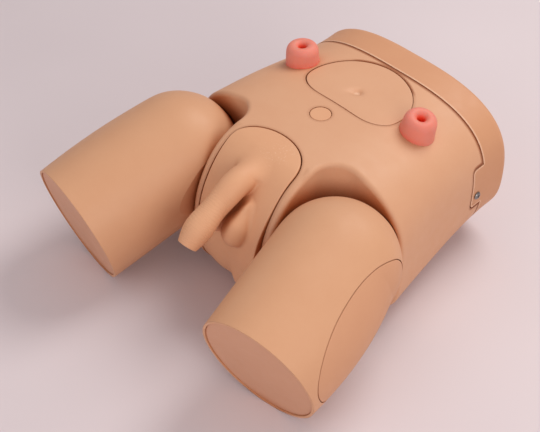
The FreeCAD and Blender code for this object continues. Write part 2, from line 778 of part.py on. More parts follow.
def thigh_shell(form, hollow, pad_layer, pad_shelf):
    """Return the left thigh shell, open at its end, with the pad's ledge and the cap's ledge."""
    shell = form.cut(hollow)
    cap_room = END_RECESS + END_CAP_THICK + SEAT_GAP
    ring = end_slice(WALL - 1, cap_room, SEAT_DEPTH)
    ring = ring.cut(end_slice(WALL + SEAT_REACH, cap_room - WALL, WALL * 3))
    pad_ledge = ledge(pad_layer, pad_bar)
    shell = shell.fuse([ring, pad_ledge])
    mouth = end_slice(END_CAP_RIM, -WALL, WALL + cap_room)
    hole = Part.makeCylinder(BOLT_R + SEAT_GAP, HUB_WALL * 3, Vec(HUB_FACE_X - HUB_WALL, HIP_Y, HIP_Z), AXIS_X)
    return shell.cut([pad_bar(SEAM).cut(pad_shelf), mouth, hole])


def thigh_end_cap():
    """Return the flat lid that closes the left thigh's end."""
    return end_slice(END_CAP_RIM + SEAT_GAP, END_RECESS, END_CAP_THICK)


def injection_pad(form, hollow):
    """Return the soft pad in the left thigh's outer side."""
    return form.cut(hollow).common(pad_bar(0))


def hip_bolt():
    """Return the left hip bolt, its head inside the thigh and its thread inside the pelvis."""
    head_x = HUB_FACE_X + HUB_WALL + SEAT_GAP
    nut_x = SOCKET_WALL_X - WALL - SEAT_GAP
    end_x = nut_x - NUT_H - BOLT_R
    shank = Part.makeCylinder(BOLT_R, head_x - end_x, Vec(end_x, HIP_Y, HIP_Z), AXIS_X)
    profile = (
        (0, 0),
        (BOLT_HEAD_R, 0),
        (BOLT_HEAD_R, BOLT_HEAD_H * 0.5),
        (BOLT_HEAD_R * 0.7, BOLT_HEAD_H),
        (0, BOLT_HEAD_H),
    )
    return shank.fuse(revolve(profile, Vec(head_x, HIP_Y, HIP_Z), AXIS_X))


def hip_washers():
    """Return the pair of washers between the thighs and the socket walls."""
    room = HUB_FACE_X - SOCKET_WALL_X
    place = Vec(SOCKET_WALL_X + SEAT_GAP, HIP_Y, HIP_Z)
    thick = room - 2 * SEAT_GAP
    ring = ring_on(place, place + AXIS_X * thick, WASHER_R, BOLT_R + SEAT_GAP)
    return Part.makeCompound(both_sides(ring))


def wing_nut():
    """Return the left wing nut inside the pelvis."""
    nut_x = SOCKET_WALL_X - WALL - SEAT_GAP
    base = Vec(nut_x, HIP_Y, HIP_Z)
    body = revolve(((0, 0), (NUT_R, 0), (NUT_R * 0.75, NUT_H), (0, NUT_H)), base, AXIS_X * -1)
    wings = []
    for sign in (1, -1):
        low = NUT_R * 0.5
        tip = WING_SPAN / 2
        outline = [
            Vec(nut_x - 1, 0, sign * low),
            Vec(nut_x - NUT_H, 0, sign * low),
            Vec(nut_x - NUT_H - WING_RISE * 0.5, 0, sign * tip * 0.8),
            Vec(nut_x - NUT_H, 0, sign * tip),
            Vec(nut_x - NUT_H * 0.5, 0, sign * tip),
        ]
        blade = Part.Face(Part.makePolygon(outline + [outline[0]])).extrude(Vec(0, WING_THICK, 0))
        blade.translate(Vec(0, HIP_Y - WING_THICK / 2, HIP_Z))
        wings.append(blade)
    hole = Part.makeCylinder(BOLT_R + HOSE_FIT, FAR, Vec(-FAR / 2, HIP_Y, HIP_Z), AXIS_X)
    return body.fuse(wings).cut(hole)


def valve_start():
    """Return where the bladder valve's flange meets the bladder's neck."""
    return BLADDER_CENTRE - AXIS_Y * (BLADDER_HALF.y + HOSE_GRIP)


def urethra_tube():
    """Return the hose from the insert's nipple up over the pubis to the bladder valve."""
    first = URETHRA_INNER - AXIS_Y * HOSE_GRIP
    last = valve_start() - AXIS_Y * (VALVE_FLANGE_LENGTH + SEAT_GAP)
    before_last = last - AXIS_Y * HOSE_GRIP
    points = [first, URETHRA_INNER, before_last, last]
    return pipe(points, NIPPLE_R + HOSE_FIT + HOSE_WALL, NIPPLE_R + HOSE_FIT)


def bladder_valve():
    """Return the valve between the bladder's neck and the urethra's hose."""
    start = valve_start()
    flange = Part.makeCylinder(VALVE_FLANGE_R, VALVE_FLANGE_LENGTH, start, AXIS_Y * -1)
    grip = VALVE_FLANGE_LENGTH + HOSE_GRIP
    nipple = Part.makeCylinder(NIPPLE_R, grip, start, AXIS_Y * -1)
    plug = Part.makeCylinder(NIPPLE_R, VALVE_BODY_LENGTH, start, AXIS_Y)
    bore = Part.makeCylinder(URETHRA_R, FAR / 2, start - AXIS_Y * (FAR / 4), AXIS_Y)
    return flange.fuse([nipple, plug]).cut(bore)


def bladder():
    """Return the hollow bladder with its neck towards the pubis."""
    start = valve_start() + AXIS_Y * SEAT_GAP
    neck = Part.makeCylinder(BLADDER_NECK_R, HOSE_GRIP + WALL, start, AXIS_Y)
    outside = ellipsoid(BLADDER_CENTRE, BLADDER_HALF).fuse(neck)
    thin = Vec(BLADDER_WALL, BLADDER_WALL, BLADDER_WALL)
    hollow = ellipsoid(BLADDER_CENTRE, BLADDER_HALF - thin)
    bore = Part.makeCylinder(NIPPLE_R + HOSE_FIT, HOSE_GRIP + WALL * 2, start, AXIS_Y)
    return outside.cut([hollow, bore])


def bladder_cradle():
    """Return the open-sided stand that carries the bladder over the pelvis floor."""
    floor_z = WALL + SEAT_GAP
    foot = Vec(BLADDER_CENTRE.x, BLADDER_CENTRE.y, floor_z)
    grown_half = CRADLE_HALF + Vec(CRADLE_FOOT, CRADLE_FOOT, 0)
    base = box_between(foot - grown_half, foot + grown_half + Vec(0, 0, CRADLE_WALL))
    post = box_between(foot - CRADLE_HALF, foot + CRADLE_HALF + Vec(0, 0, BLADDER_CENTRE.z - floor_z))
    inner_half = CRADLE_HALF - Vec(CRADLE_WALL, CRADLE_WALL, 0)
    core = box_between(foot - inner_half, foot + inner_half + Vec(0, 0, FAR))
    window_top = Vec(0, 0, BLADDER_CENTRE.z - BLADDER_HALF.z - 4 * CRADLE_WALL - floor_z)
    low = foot + Vec(-FAR, -inner_half.y, 2 * CRADLE_WALL)
    window = box_between(low, foot + Vec(FAR, inner_half.y, 0) + window_top)
    gap = Vec(SEAT_GAP, SEAT_GAP, SEAT_GAP)
    return base.fuse(post).cut([core, window, ellipsoid(BLADDER_CENTRE, BLADDER_HALF + gap)])


def bowel_bottle():
    """Return the bottle behind the stomas, with a port for each hose."""
    start = BOTTLE_CENTRE - AXIS_X * (BOTTLE_LENGTH / 2)
    body = Part.makeCylinder(BOTTLE_R, BOTTLE_LENGTH, start, AXIS_X)
    body = body.makeFillet(BOTTLE_ROUND, [e for e in body.Edges if e.BoundBox.XLength < 0.1])
    inside_start = start + AXIS_X * BOTTLE_WALL
    inside_r = BOTTLE_R - BOTTLE_WALL
    inside = Part.makeCylinder(inside_r, BOTTLE_LENGTH - 2 * BOTTLE_WALL, inside_start, AXIS_X)
    inside = inside.makeFillet(BOTTLE_ROUND, [e for e in inside.Edges if e.BoundBox.XLength < 0.1])
    ports = []
    bores = []
    for side in (1, -1):
        place = BOTTLE_CENTRE + AXIS_X * (side * BOTTLE_PORT_X)
        height = BOTTLE_R + HOSE_GRIP
        ports.append(Part.makeCylinder(BOWEL_NIPPLE_R, height, place))
        bores.append(Part.makeCylinder(STOMA_LUMEN_R, FAR, place))
    return body.fuse(ports).cut([inside] + bores)


def bottle_saddles(shelf):
    """Return the pair of ribs that carry the bowel bottle."""
    ribs = []
    for side in (1, -1):
        middle = Vec(side * SADDLE_X, BOTTLE_CENTRE.y, 0)
        half = Vec(SADDLE_THICK / 2, SADDLE_HALF_WIDTH, 0)
        rib = box_between(middle - half, middle + half + AXIS_Z * SADDLE_TOP_Z)
        ribs.append(rib.common(shelf))
    start = BOTTLE_CENTRE - AXIS_X * (BOTTLE_LENGTH / 2)
    room = Part.makeCylinder(BOTTLE_R + SEAT_GAP, BOTTLE_LENGTH, start, AXIS_X)
    return Part.makeCompound([rib.cut(room) for rib in ribs])


def bowel_ends():
    """Return the four points of the left bowel hose: two on each nipple's axis."""
    top = Vec(STOMA_X, STOMA_Y, STOMA_FOOT_Z - SEAT_GAP)
    port = BOTTLE_CENTRE + Vec(BOTTLE_PORT_X, 0, BOTTLE_R + SEAT_GAP)
    return [top, top - AXIS_Z * BOWEL_NIPPLE_DROP, port + AXIS_Z * HOSE_GRIP, port]


def bowel_tube():
    """Return the left hose from its stoma down to the bowel bottle."""
    inner_r = BOWEL_NIPPLE_R + HOSE_FIT
    return pipe(bowel_ends(), inner_r + HOSE_WALL, inner_r)


def bowel_hose_clips():
    """Return the four clips on the ends of the bowel hoses."""
    ends = bowel_ends()
    inner_r = BOWEL_NIPPLE_R + HOSE_WALL + 2 * HOSE_FIT
    clips = []
    for start, heading in ((ends[0], AXIS_Z * -1), (ends[3], AXIS_Z)):
        low = start + heading * CLIP_WIDTH
        clips += both_sides(ring_on(low, low + heading * CLIP_WIDTH, inner_r + CLIP_THICK, inner_r))
    return Part.makeCompound(clips)


def urethra_hose_clips():
    """Return the two clips on the ends of the urethra's hose."""
    inner_r = NIPPLE_R + HOSE_WALL + 2 * HOSE_FIT
    starts = (
        (URETHRA_INNER - AXIS_Y * HOSE_GRIP, AXIS_Y),
        (valve_start() - AXIS_Y * (VALVE_FLANGE_LENGTH + SEAT_GAP), AXIS_Y * -1),
    )
    clips = []
    for start, heading in starts:
        low = start + heading * (CLIP_WIDTH / 2)
        clips.append(ring_on(low, low + heading * CLIP_WIDTH, inner_r + CLIP_THICK, inner_r))
    return Part.makeCompound(clips)


def torso_nodes():
    """Return the named shapes of the torso, its inlays and what hangs on its skin."""
    cavity = trunk(WALL)
    shelf = trunk(WALL + SEAT_GAP)
    layer = belly(WALL - 1).cut(belly(WALL + SEAT_GAP + SEAT_DEPTH))
    block = blended_block()
    plain = trunk_plain(block)
    over_skin = trunk(-SEAT_GAP)
    return {
        "torso_shell": torso_shell(trunk_skin(block), cavity, shelf, layer),
        "waist_cap": waist_cap(),
        "cap_screws": cap_screws(plain),
        "abdomen_plate": abdomen_plate(plain, cavity),
        "suprapubic_pad": suprapubic_pad(plain, cavity),
        "male_insert": male_insert(plain, cavity),
        "stoma_left": stoma(over_skin, 1),
        "stoma_right": stoma(over_skin, -1),
        "stoma_collars": stoma_collars(shelf),
        "bottle_saddles": bottle_saddles(shelf),
    }


def fluid_nodes():
    """Return the named shapes of the bladder, the bottle and their hoses."""
    tube = bowel_tube()
    return {
        "urethra_tube": urethra_tube(),
        "urethra_hose_clips": urethra_hose_clips(),
        "bladder_valve": bladder_valve(),
        "bladder": bladder(),
        "bladder_cradle": bladder_cradle(),
        "bowel_bottle": bowel_bottle(),
        "bowel_tube_left": tube,
        "bowel_tube_right": mirror_x(tube),
        "bowel_hose_clips": bowel_hose_clips(),
    }


def leg_nodes():
    """Return the named shapes of both thighs and their hip fixings."""
    form = thigh_form(0.0)
    hollow = thigh_form(WALL)
    pad_layer = thigh_form(WALL - 1).cut(thigh_form(WALL + SEAT_GAP + SEAT_DEPTH))
    pad_shelf = thigh_form(WALL + SEAT_GAP)
    left = {
        "thigh": thigh_shell(form, hollow, pad_layer, pad_shelf),
        "thigh_end_cap": thigh_end_cap(),
        "injection_pad": injection_pad(form, hollow),
        "hip_bolt": hip_bolt(),
        "hip_wing_nut": wing_nut(),
    }
    nodes = {"hip_washers": hip_washers()}
    for name, shape in left.items():
        nodes[name + "_left"] = shape
        nodes[name + "_right"] = mirror_x(shape)
    return nodes


def main():
    """Build every node and write it beside this file."""
    os.makedirs("parts", exist_ok=True)
    for nodes in (torso_nodes(), fluid_nodes(), leg_nodes()):
        for name, shape in nodes.items():
            shape.translate(Vec(0, -MIDDLE_Y, 0))
            shape.exportStep("parts/" + name + ".step")


main()
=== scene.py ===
"""Looks of a male catheterisation trainer: finishes, soft insert, plates, pads, stomas, studio."""

import logging
import math
from collections.abc import Callable
from dataclasses import dataclass
from enum import Enum

import bmesh
import bpy
import numpy as np
from mathutils import Matrix, Vector

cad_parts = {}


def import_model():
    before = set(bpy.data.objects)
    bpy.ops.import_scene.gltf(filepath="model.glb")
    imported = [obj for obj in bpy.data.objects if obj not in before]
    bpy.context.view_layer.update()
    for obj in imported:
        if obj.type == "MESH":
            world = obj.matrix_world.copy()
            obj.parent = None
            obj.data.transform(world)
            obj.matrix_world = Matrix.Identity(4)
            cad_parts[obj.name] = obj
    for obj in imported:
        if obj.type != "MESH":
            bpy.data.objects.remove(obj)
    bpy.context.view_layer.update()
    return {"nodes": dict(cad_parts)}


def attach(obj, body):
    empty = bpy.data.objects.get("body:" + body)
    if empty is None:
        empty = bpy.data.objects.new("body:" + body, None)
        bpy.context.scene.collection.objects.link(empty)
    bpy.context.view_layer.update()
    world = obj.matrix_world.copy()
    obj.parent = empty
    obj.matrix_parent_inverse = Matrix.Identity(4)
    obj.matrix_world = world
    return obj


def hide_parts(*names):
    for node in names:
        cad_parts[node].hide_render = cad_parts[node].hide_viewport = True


Colour = tuple[float, float, float]
Pair = tuple[float, float]
Row = tuple[float, ...]
Array = np.ndarray
Field = Callable[[Array], Array]
Socket = bpy.types.NodeSocket

# Forms are worked out in millimetres, X to the model's left, Y towards its head and Z up from the
# table. The frame's origin lies at MIDDLE_Y along Y.
MM = 0.001
MIDDLE_Y = 45.3
# Length of the steps that measure a field's slope, and a length that guards divisions by zero.
PROBE = 0.05
TINY = 1e-9
LOG = logging.getLogger("trainer")


def spline(knots: Array, values: Array, at: Array) -> Array:
    """Evaluate a natural cubic spline.

    The second derivatives at the knots solve a tridiagonal system; between two knots the value is
    the line between them plus two cubic terms weighted by those derivatives.

    Args:
        knots: Rising places of the knots, shape (n,).
        values: Values at the knots, shape (n,) or (n, k).
        at: Places to evaluate, any shape (m,).

    Returns:
        Values at the places, shape (m,) or (m, k).
    """
    knots = np.asarray(knots, float)
    values = np.asarray(values, float)
    flat = values.reshape(len(knots), -1)
    gap = np.diff(knots)
    count = len(knots)
    system = np.eye(count)
    right = np.zeros_like(flat)
    inner = np.arange(1, count - 1)
    system[inner, inner] = 2 * (gap[:-1] + gap[1:])
    system[inner, inner - 1] = gap[:-1]
    system[inner, inner + 1] = gap[1:]
    slope = np.diff(flat, axis=0) / gap[:, None]
    right[inner] = 6 * np.diff(slope, axis=0)
    bend = np.linalg.solve(system, right)
    at = np.asarray(at, float)
    i = np.clip(np.searchsorted(knots, at) - 1, 0, count - 2)
    h = gap[i][:, None]
    a = (knots[i + 1] - at)[:, None] / h
    b = (at - knots[i])[:, None] / h
    found = a * flat[i] + b * flat[i + 1]
    found += ((a**3 - a) * bend[i] + (b**3 - b) * bend[i + 1]) * h * h / 6
    return found[:, 0] if values.ndim == 1 else found


def length_along(points: Array) -> Array:
    """Length along a line of points up to each of them: the running sum of its steps."""
    return np.r_[0, np.cumsum(np.linalg.norm(np.diff(points, axis=0), axis=1))]


def full_turn(count: int) -> Array:
    """Angles of so many columns spaced evenly round a circle."""
    return np.linspace(0, 2 * np.pi, count, endpoint=False)


def smooth_min(first: Array, second: Array, reach: float) -> Array:
    """Blend two distance fields: their minimum, less (reach - gap) squared over 4 reach near ties."""
    near = np.maximum(reach - np.abs(first - second), 0.0)
    return np.minimum(first, second) - near * near / (4 * reach)


def smooth_max(first: Array, second: Array, reach: float) -> Array:
    """Blend two distance fields the other way: the negative smooth minimum of their negatives."""
    return -smooth_min(-first, -second, reach)


def ellipsoid_field(points: Array, centre: Row, half: Row) -> Array:
    """Estimate the distance to an ellipsoid as k0 (k0 - 1) / k1.

    k0 is the length of the point scaled by the half axes and k1 the length scaled by their squares.

    Args:
        points: Points in millimetres, shape (n, 3).
        centre: Centre of the ellipsoid.
        half: Its half axes.

    Returns:
        The distance of each point, negative inside.
    """
    place = points - np.array(centre)
    scaled = np.linalg.norm(place / np.array(half), axis=1)
    steep = np.linalg.norm(place / np.array(half) ** 2, axis=1)
    return scaled * (scaled - 1) / np.maximum(steep, TINY)


@dataclass(frozen=True)
class TorsoForm:
    """The trunk's outer form in millimetres, with the belly and the crotch as distance fields.

    Each row is the place along Y, half width, top, bottom, height of the widest point and the
    fullness of the upper and the lower half.
    """

    rows: tuple[Row, ...] = (
        (-75.0, 199.0, 205.0, -1.5, 92.0, 2.5, 4.7),
        (-10.0, 194.5, 207.5, -1.5, 91.0, 2.7, 4.7),
        (55.0, 179.5, 210.5, -1.5, 92.0, 3.0, 4.5),
        (120.0, 168.5, 210.7, -1.0, 95.0, 3.3, 4.0),
        (180.0, 161.8, 208.5, 3.0, 98.0, 3.2, 3.4),
        (236.0, 158.5, 208.0, 6.0, 99.5, 3.0, 2.9),
        (283.0, 162.5, 212.6, 0.5, 101.0, 2.8, 2.3),
    )
    crotch: tuple[Pair, ...] = (
        (75.0, 222.0),
        (45.0, 216.5),
        (20.0, 211.3),
        (3.0, 206.5),
        (-12.0, 198.6),
        (-30.0, 181.5),
        (-44.0, 161.0),
        (-55.0, 136.0),
        (-60.5, 108.0),
        (-61.5, 78.0),
        (-56.5, 47.0),
        (-42.0, 19.0),
        (-16.0, 1.0),
        (25.0, -12.0),
    )
    crown: float = 2.5
    crown_span: float = 66.0
    crest_reach: float = 2.6
    profile_steps: int = 400

    def belly_field(self, points: Array) -> Array:
        """Distance outside the trunk's section: radius less the superellipse radius at that angle.

        Args:
            points: Points in millimetres, shape (n, 3).

        Returns:
            The distance of each point, negative inside.
        """
        rows = np.array(self.rows)
        half, top, bottom, widest, full_up, full_down = spline(
            rows[:, 0], rows[:, 1:], points[:, 1]
        ).T
        rise = points[:, 2] - widest
        tall = np.where(rise >= 0, top - widest, widest - bottom)
        full = np.where(rise >= 0, full_up, full_down)
        radius = np.hypot(points[:, 0], rise)
        across = np.abs(points[:, 0]) / np.maximum(radius, TINY) / half
        upward = np.abs(rise) / np.maximum(radius, TINY) / tall
        return radius - (across**full + upward**full) ** (-1.0 / full)

    def belly_height(self, x: Array, y: Array) -> Array:
        """Height of the belly at places of the floor plane, from the upper superellipse half.

        Args:
            x: Places across the model.
            y: Places along it.

        Returns:
            The height above the table at each place.
        """
        rows = np.array(self.rows)
        half, top, _, widest, full, _ = spline(rows[:, 0], rows[:, 1:], y).T
        inside = np.maximum(1 - (np.abs(x) / half) ** full, 0.0)
        return widest + (top - widest) * inside ** (1 / full)

    def crotch_line(self) -> Array:
        """Points along the crotch's side view: a spline through its corners by length.

        Returns:
            Place along Y and height of each point, shape (profile_steps, 2).
        """
        corners = np.array(self.crotch)
        reach = length_along(corners)
        return spline(reach, corners, np.linspace(0, reach[-1], self.profile_steps))

    def crotch_field(self, points: Array) -> Array:
        """Distance in front of the crotch: side-view distance plus a crown that grows with x squared.

        Args:
            points: Points in millimetres, shape (n, 3).

        Returns:
            The distance of each point, negative inside.
        """
        line = self.crotch_line()
        run = np.diff(line, axis=0)
        side = points[:, 1:3]
        gaps = np.linalg.norm(side[:, None] - line[None, :-1], axis=2)
        nearest = np.argmin(gaps, axis=1)
        tangent = run[nearest] / np.linalg.norm(run[nearest], axis=1)[:, None]
        place = side - line[nearest]
        signed = place[:, 1] * -tangent[:, 0] + place[:, 0] * tangent[:, 1]
        return signed + self.crown * (points[:, 0] / self.crown_span) ** 2

    def field(self, points: Array) -> Array:
        """Distance outside the trunk, the belly flowing into the crotch."""
        return smooth_max(self.belly_field(points), self.crotch_field(points), self.crest_reach)


TORSO = TorsoForm()


def closed_spline(corners: Array, count: int) -> Array:
    """Points of a smooth closed curve through corners, spaced by chord length.

    The corners are repeated three times, so that the natural spline through them has settled in the
    middle copy, which is the closed curve.

    Args:
        corners: Corners of the curve, shape (n, 2).
        count: Number of points.

    Returns:
        Points of the curve, shape (count, 2).
    """
    loops = np.vstack([corners, corners, corners, corners[:1]])
    reach = length_along(loops)
    first, last = reach[len(corners)], reach[2 * len(corners)]
    return spline(reach, loops, np.linspace(first, last, count, endpoint=False))


def soft_step(value: Array, start: float, end: float) -> Array:
    """Rise from 0 at the start to 1 at the end along 3 t squared less 2 t cubed."""
    share = np.clip((value - start) / (end - start), 0.0, 1.0)
    return share * share * (3 - 2 * share)


def rim_drop(inset: Array, radius: float) -> Array:
    """Fall of a rounded edge, inset e: radius less the root of r squared less (r - e) squared."""
    short = np.clip(radius - inset, 0.0, radius)
    return radius - np.sqrt(radius * radius - short * short)


def slopes(points: Array, field_of: Field) -> tuple[Array, Array]:
    """Value and gradient of a distance field, by small steps along each axis.

    Args:
        points: Points in millimetres, shape (n, 3).
        field_of: The distance field.

    Returns:
        The value, shape (n,), and the gradient, shape (n, 3).
    """
    value = field_of(points)
    ahead = [field_of(points + axis * PROBE) for axis in np.eye(3)]
    return value, (np.stack(ahead, axis=1) - value[:, None]) / PROBE


def slide(points: Array, along: Array, field_of: Field, rounds: int = 6) -> Array:
    """Move points along given directions onto a field's zero surface, by Newton steps.

    A step is the field's value over its slope, which counts as 0.2 at least, and 6 mm at most.

    Args:
        points: Points in millimetres, shape (n, 3).
        along: Direction of each point's movement, shape (n, 3).
        field_of: The distance field.
        rounds: Number of steps.

    Returns:
        The moved points.
    """
    least_slope, longest = 0.2, 6.0
    for _ in range(rounds):
        value = field_of(points)
        steep = (field_of(points + along * PROBE) - value) / PROBE
        steep = np.where(steep > least_slope, steep, least_slope)
        points = points - along * np.clip(value / steep, -longest, longest)[:, None]
    return points


def meet(points: Array, own: Field, base: Field, own_goal: Array, base_goal: Array) -> Array:
    """Move points, as little as possible, to where two fields have given values.

    Each step solves the two linear equations of the fields' gradients for the shortest move, which
    is a sum of the two gradients, held to 2 mm.

    Args:
        points: Points in millimetres, shape (n, 3).
        own: The first field.
        base: The second field.
        own_goal: Wanted values of the first field.
        base_goal: Wanted values of the second field.

    Returns:
        The moved points.
    """
    rounds, least_room, longest = 6, 0.03, 2.0
    for _ in range(rounds):
        own_value, own_slope = slopes(points, own)
        base_value, base_slope = slopes(points, base)
        aa = (own_slope**2).sum(axis=1)
        bb = (base_slope**2).sum(axis=1)
        ab = (own_slope * base_slope).sum(axis=1)
        room = np.maximum(aa * bb - ab * ab, least_room)
        own_miss = own_goal - own_value
        base_miss = base_goal - base_value
        move = own_slope * ((bb * own_miss - ab * base_miss) / room)[:, None]
        move += base_slope * ((aa * base_miss - ab * own_miss) / room)[:, None]
        size = np.linalg.norm(move, axis=1, keepdims=True)
        points = points + move * np.minimum(1.0, longest / np.maximum(size, TINY))
    return points


def skirt(start: Array, own: Field, base: Field, reach: Array, rows: int = 14) -> Array:
    """Rows of the soft run from one surface onto another.

    On the smooth minimum of two fields with a reach k, the place where the first field is less than
    the second by d has the smaller of them at (k - |d|) squared over 4 k. The rows go from d = -k,
    on the first surface, to d = k, on the second.

    Args:
        start: Ring of points on the first surface, where the second field is k, shape (n, 3).
        own: Field of the first surface.
        base: Field of the second surface.
        reach: The reach k at each point of the ring.
        rows: Number of rows.

    Returns:
        The rows, shape (rows, n, 3).
    """
    found = []
    points = start
    for share in np.linspace(-1, 1, rows + 1)[1:]:
        near = (1 - abs(share)) ** 2 * reach / 4
        own_goal = near + max(share, 0.0) * reach
        base_goal = near + max(-share, 0.0) * reach
        points = meet(points, own, base, own_goal, base_goal)
        found.append(points)
    return np.stack(found)


def crossing(grid: Array, base: Field, reach: Array) -> Array:
    """Row number, with its fraction, where each column of a grid of points first nears a surface.

    Args:
        grid: Points from the free end towards the surface, shape (rows, columns, 3).
        base: Field of the surface.
        reach: Distance at which each column counts as near.

    Returns:
        One row number for each column.
    """
    value = base(grid.reshape(-1, 3)).reshape(grid.shape[:2]) - reach
    last = np.argmax(value < 0, axis=0).clip(1)
    column = np.arange(grid.shape[1])
    before, after = value[last - 1, column], value[last, column]
    return last - 1 + before / np.maximum(before - after, TINY)


def unit(vector: Array) -> Array:
    """Return vectors scaled to length one."""
    return vector / np.maximum(np.linalg.norm(vector, axis=-1, keepdims=True), TINY)


class Shell:
    """A closed surface gathered from grids of points in millimetres."""

    def __init__(self) -> None:
        """Start with nothing."""
        self.parts: list[Array] = []
        self.faces: list[list[int]] = []
        self.count = 0

    def points(self, grid: Array) -> Array:
        """Add a grid of points.

        Args:
            grid: Points, shape (..., 3).

        Returns:
            Their numbers in the same arrangement, shape (...).
        """
        flat = np.asarray(grid, float).reshape(-1, 3)
        numbers = np.arange(len(flat)) + self.count
        self.parts.append(flat)
        self.count += len(flat)
        return numbers.reshape(grid.shape[:-1])

    def skin(self, numbers: Array, wrap: bool = False) -> None:
        """Lay quads over a grid of point numbers.

        Args:
            numbers: Point numbers, shape (rows, columns).
            wrap: Whether the rows close on themselves.
        """
        index = np.c_[numbers, numbers[:, :1]] if wrap else numbers
        corners = (index[:-1, :-1], index[:-1, 1:], index[1:, 1:], index[1:, :-1])
        self.faces += np.stack(corners, axis=-1).reshape(-1, 4).tolist()

    def fan(self, ring: Array, tip: Array) -> None:
        """Close a ring of point numbers with triangles to a tip."""
        middle = self.points(np.asarray(tip, float).reshape(1, 3))[0]
        self.faces += np.c_[ring, np.roll(ring, -1), np.full(len(ring), middle)].tolist()

    def piece(self, name: str, sharp: float = 50.0) -> bpy.types.Object:
        """Make the object, its faces turned outwards.

        Args:
            name: Name of the piece.
            sharp: Angle in degrees up to which its edges are smooth.

        Returns:
            The object, linked to the scene.
        """
        placed = (np.vstack(self.parts) - (0, MIDDLE_Y, 0)) * MM
        mesh = bpy.data.meshes.new(name)
        mesh.from_pydata(placed.tolist(), [], self.faces)
        work = bmesh.new()
        work.from_mesh(mesh)
        bmesh.ops.recalc_face_normals(work, faces=work.faces)
        work.to_mesh(mesh)
        work.free()
        mesh.polygons.foreach_set("use_smooth", np.ones(len(mesh.polygons), bool))
        mesh.set_sharp_from_angle(angle=math.radians(sharp))
        mesh.update()
        piece = bpy.data.objects.new(name, mesh)
        bpy.context.scene.collection.objects.link(piece)
        return piece


# Left half of the belly plate's outline, from the middle of its head end to that of its foot end.
PLATE_OUTLINE: tuple[Pair, ...] = (
    (0.0, 229.0),
    (33.0, 221.5),
    (53.0, 208.0),
    (67.0, 188.0),
    (73.0, 163.0),
    (69.0, 143.0),
    (50.0, 128.5),
    (22.0, 126.2),
)
# Place along Y and radius of the round puncture pad.
PUNCTURE_Y = 97.0
PUNCTURE_RADIUS = 13.4


def mirrored(half: tuple[Pair, ...]) -> tuple[Pair, ...]:
    """Close an outline with the mirror image of its half on one side."""
    return (*half, *((-x, y) for x, y in reversed(half[1:])))


def circle(x: float, y: float, radius: float, count: int = 16) -> tuple[Pair, ...]:
    """Corners of a round outline."""
    turn = full_turn(count)
    return tuple(zip((x + radius * np.cos(turn)).tolist(), (y + radius * np.sin(turn)).tolist()))


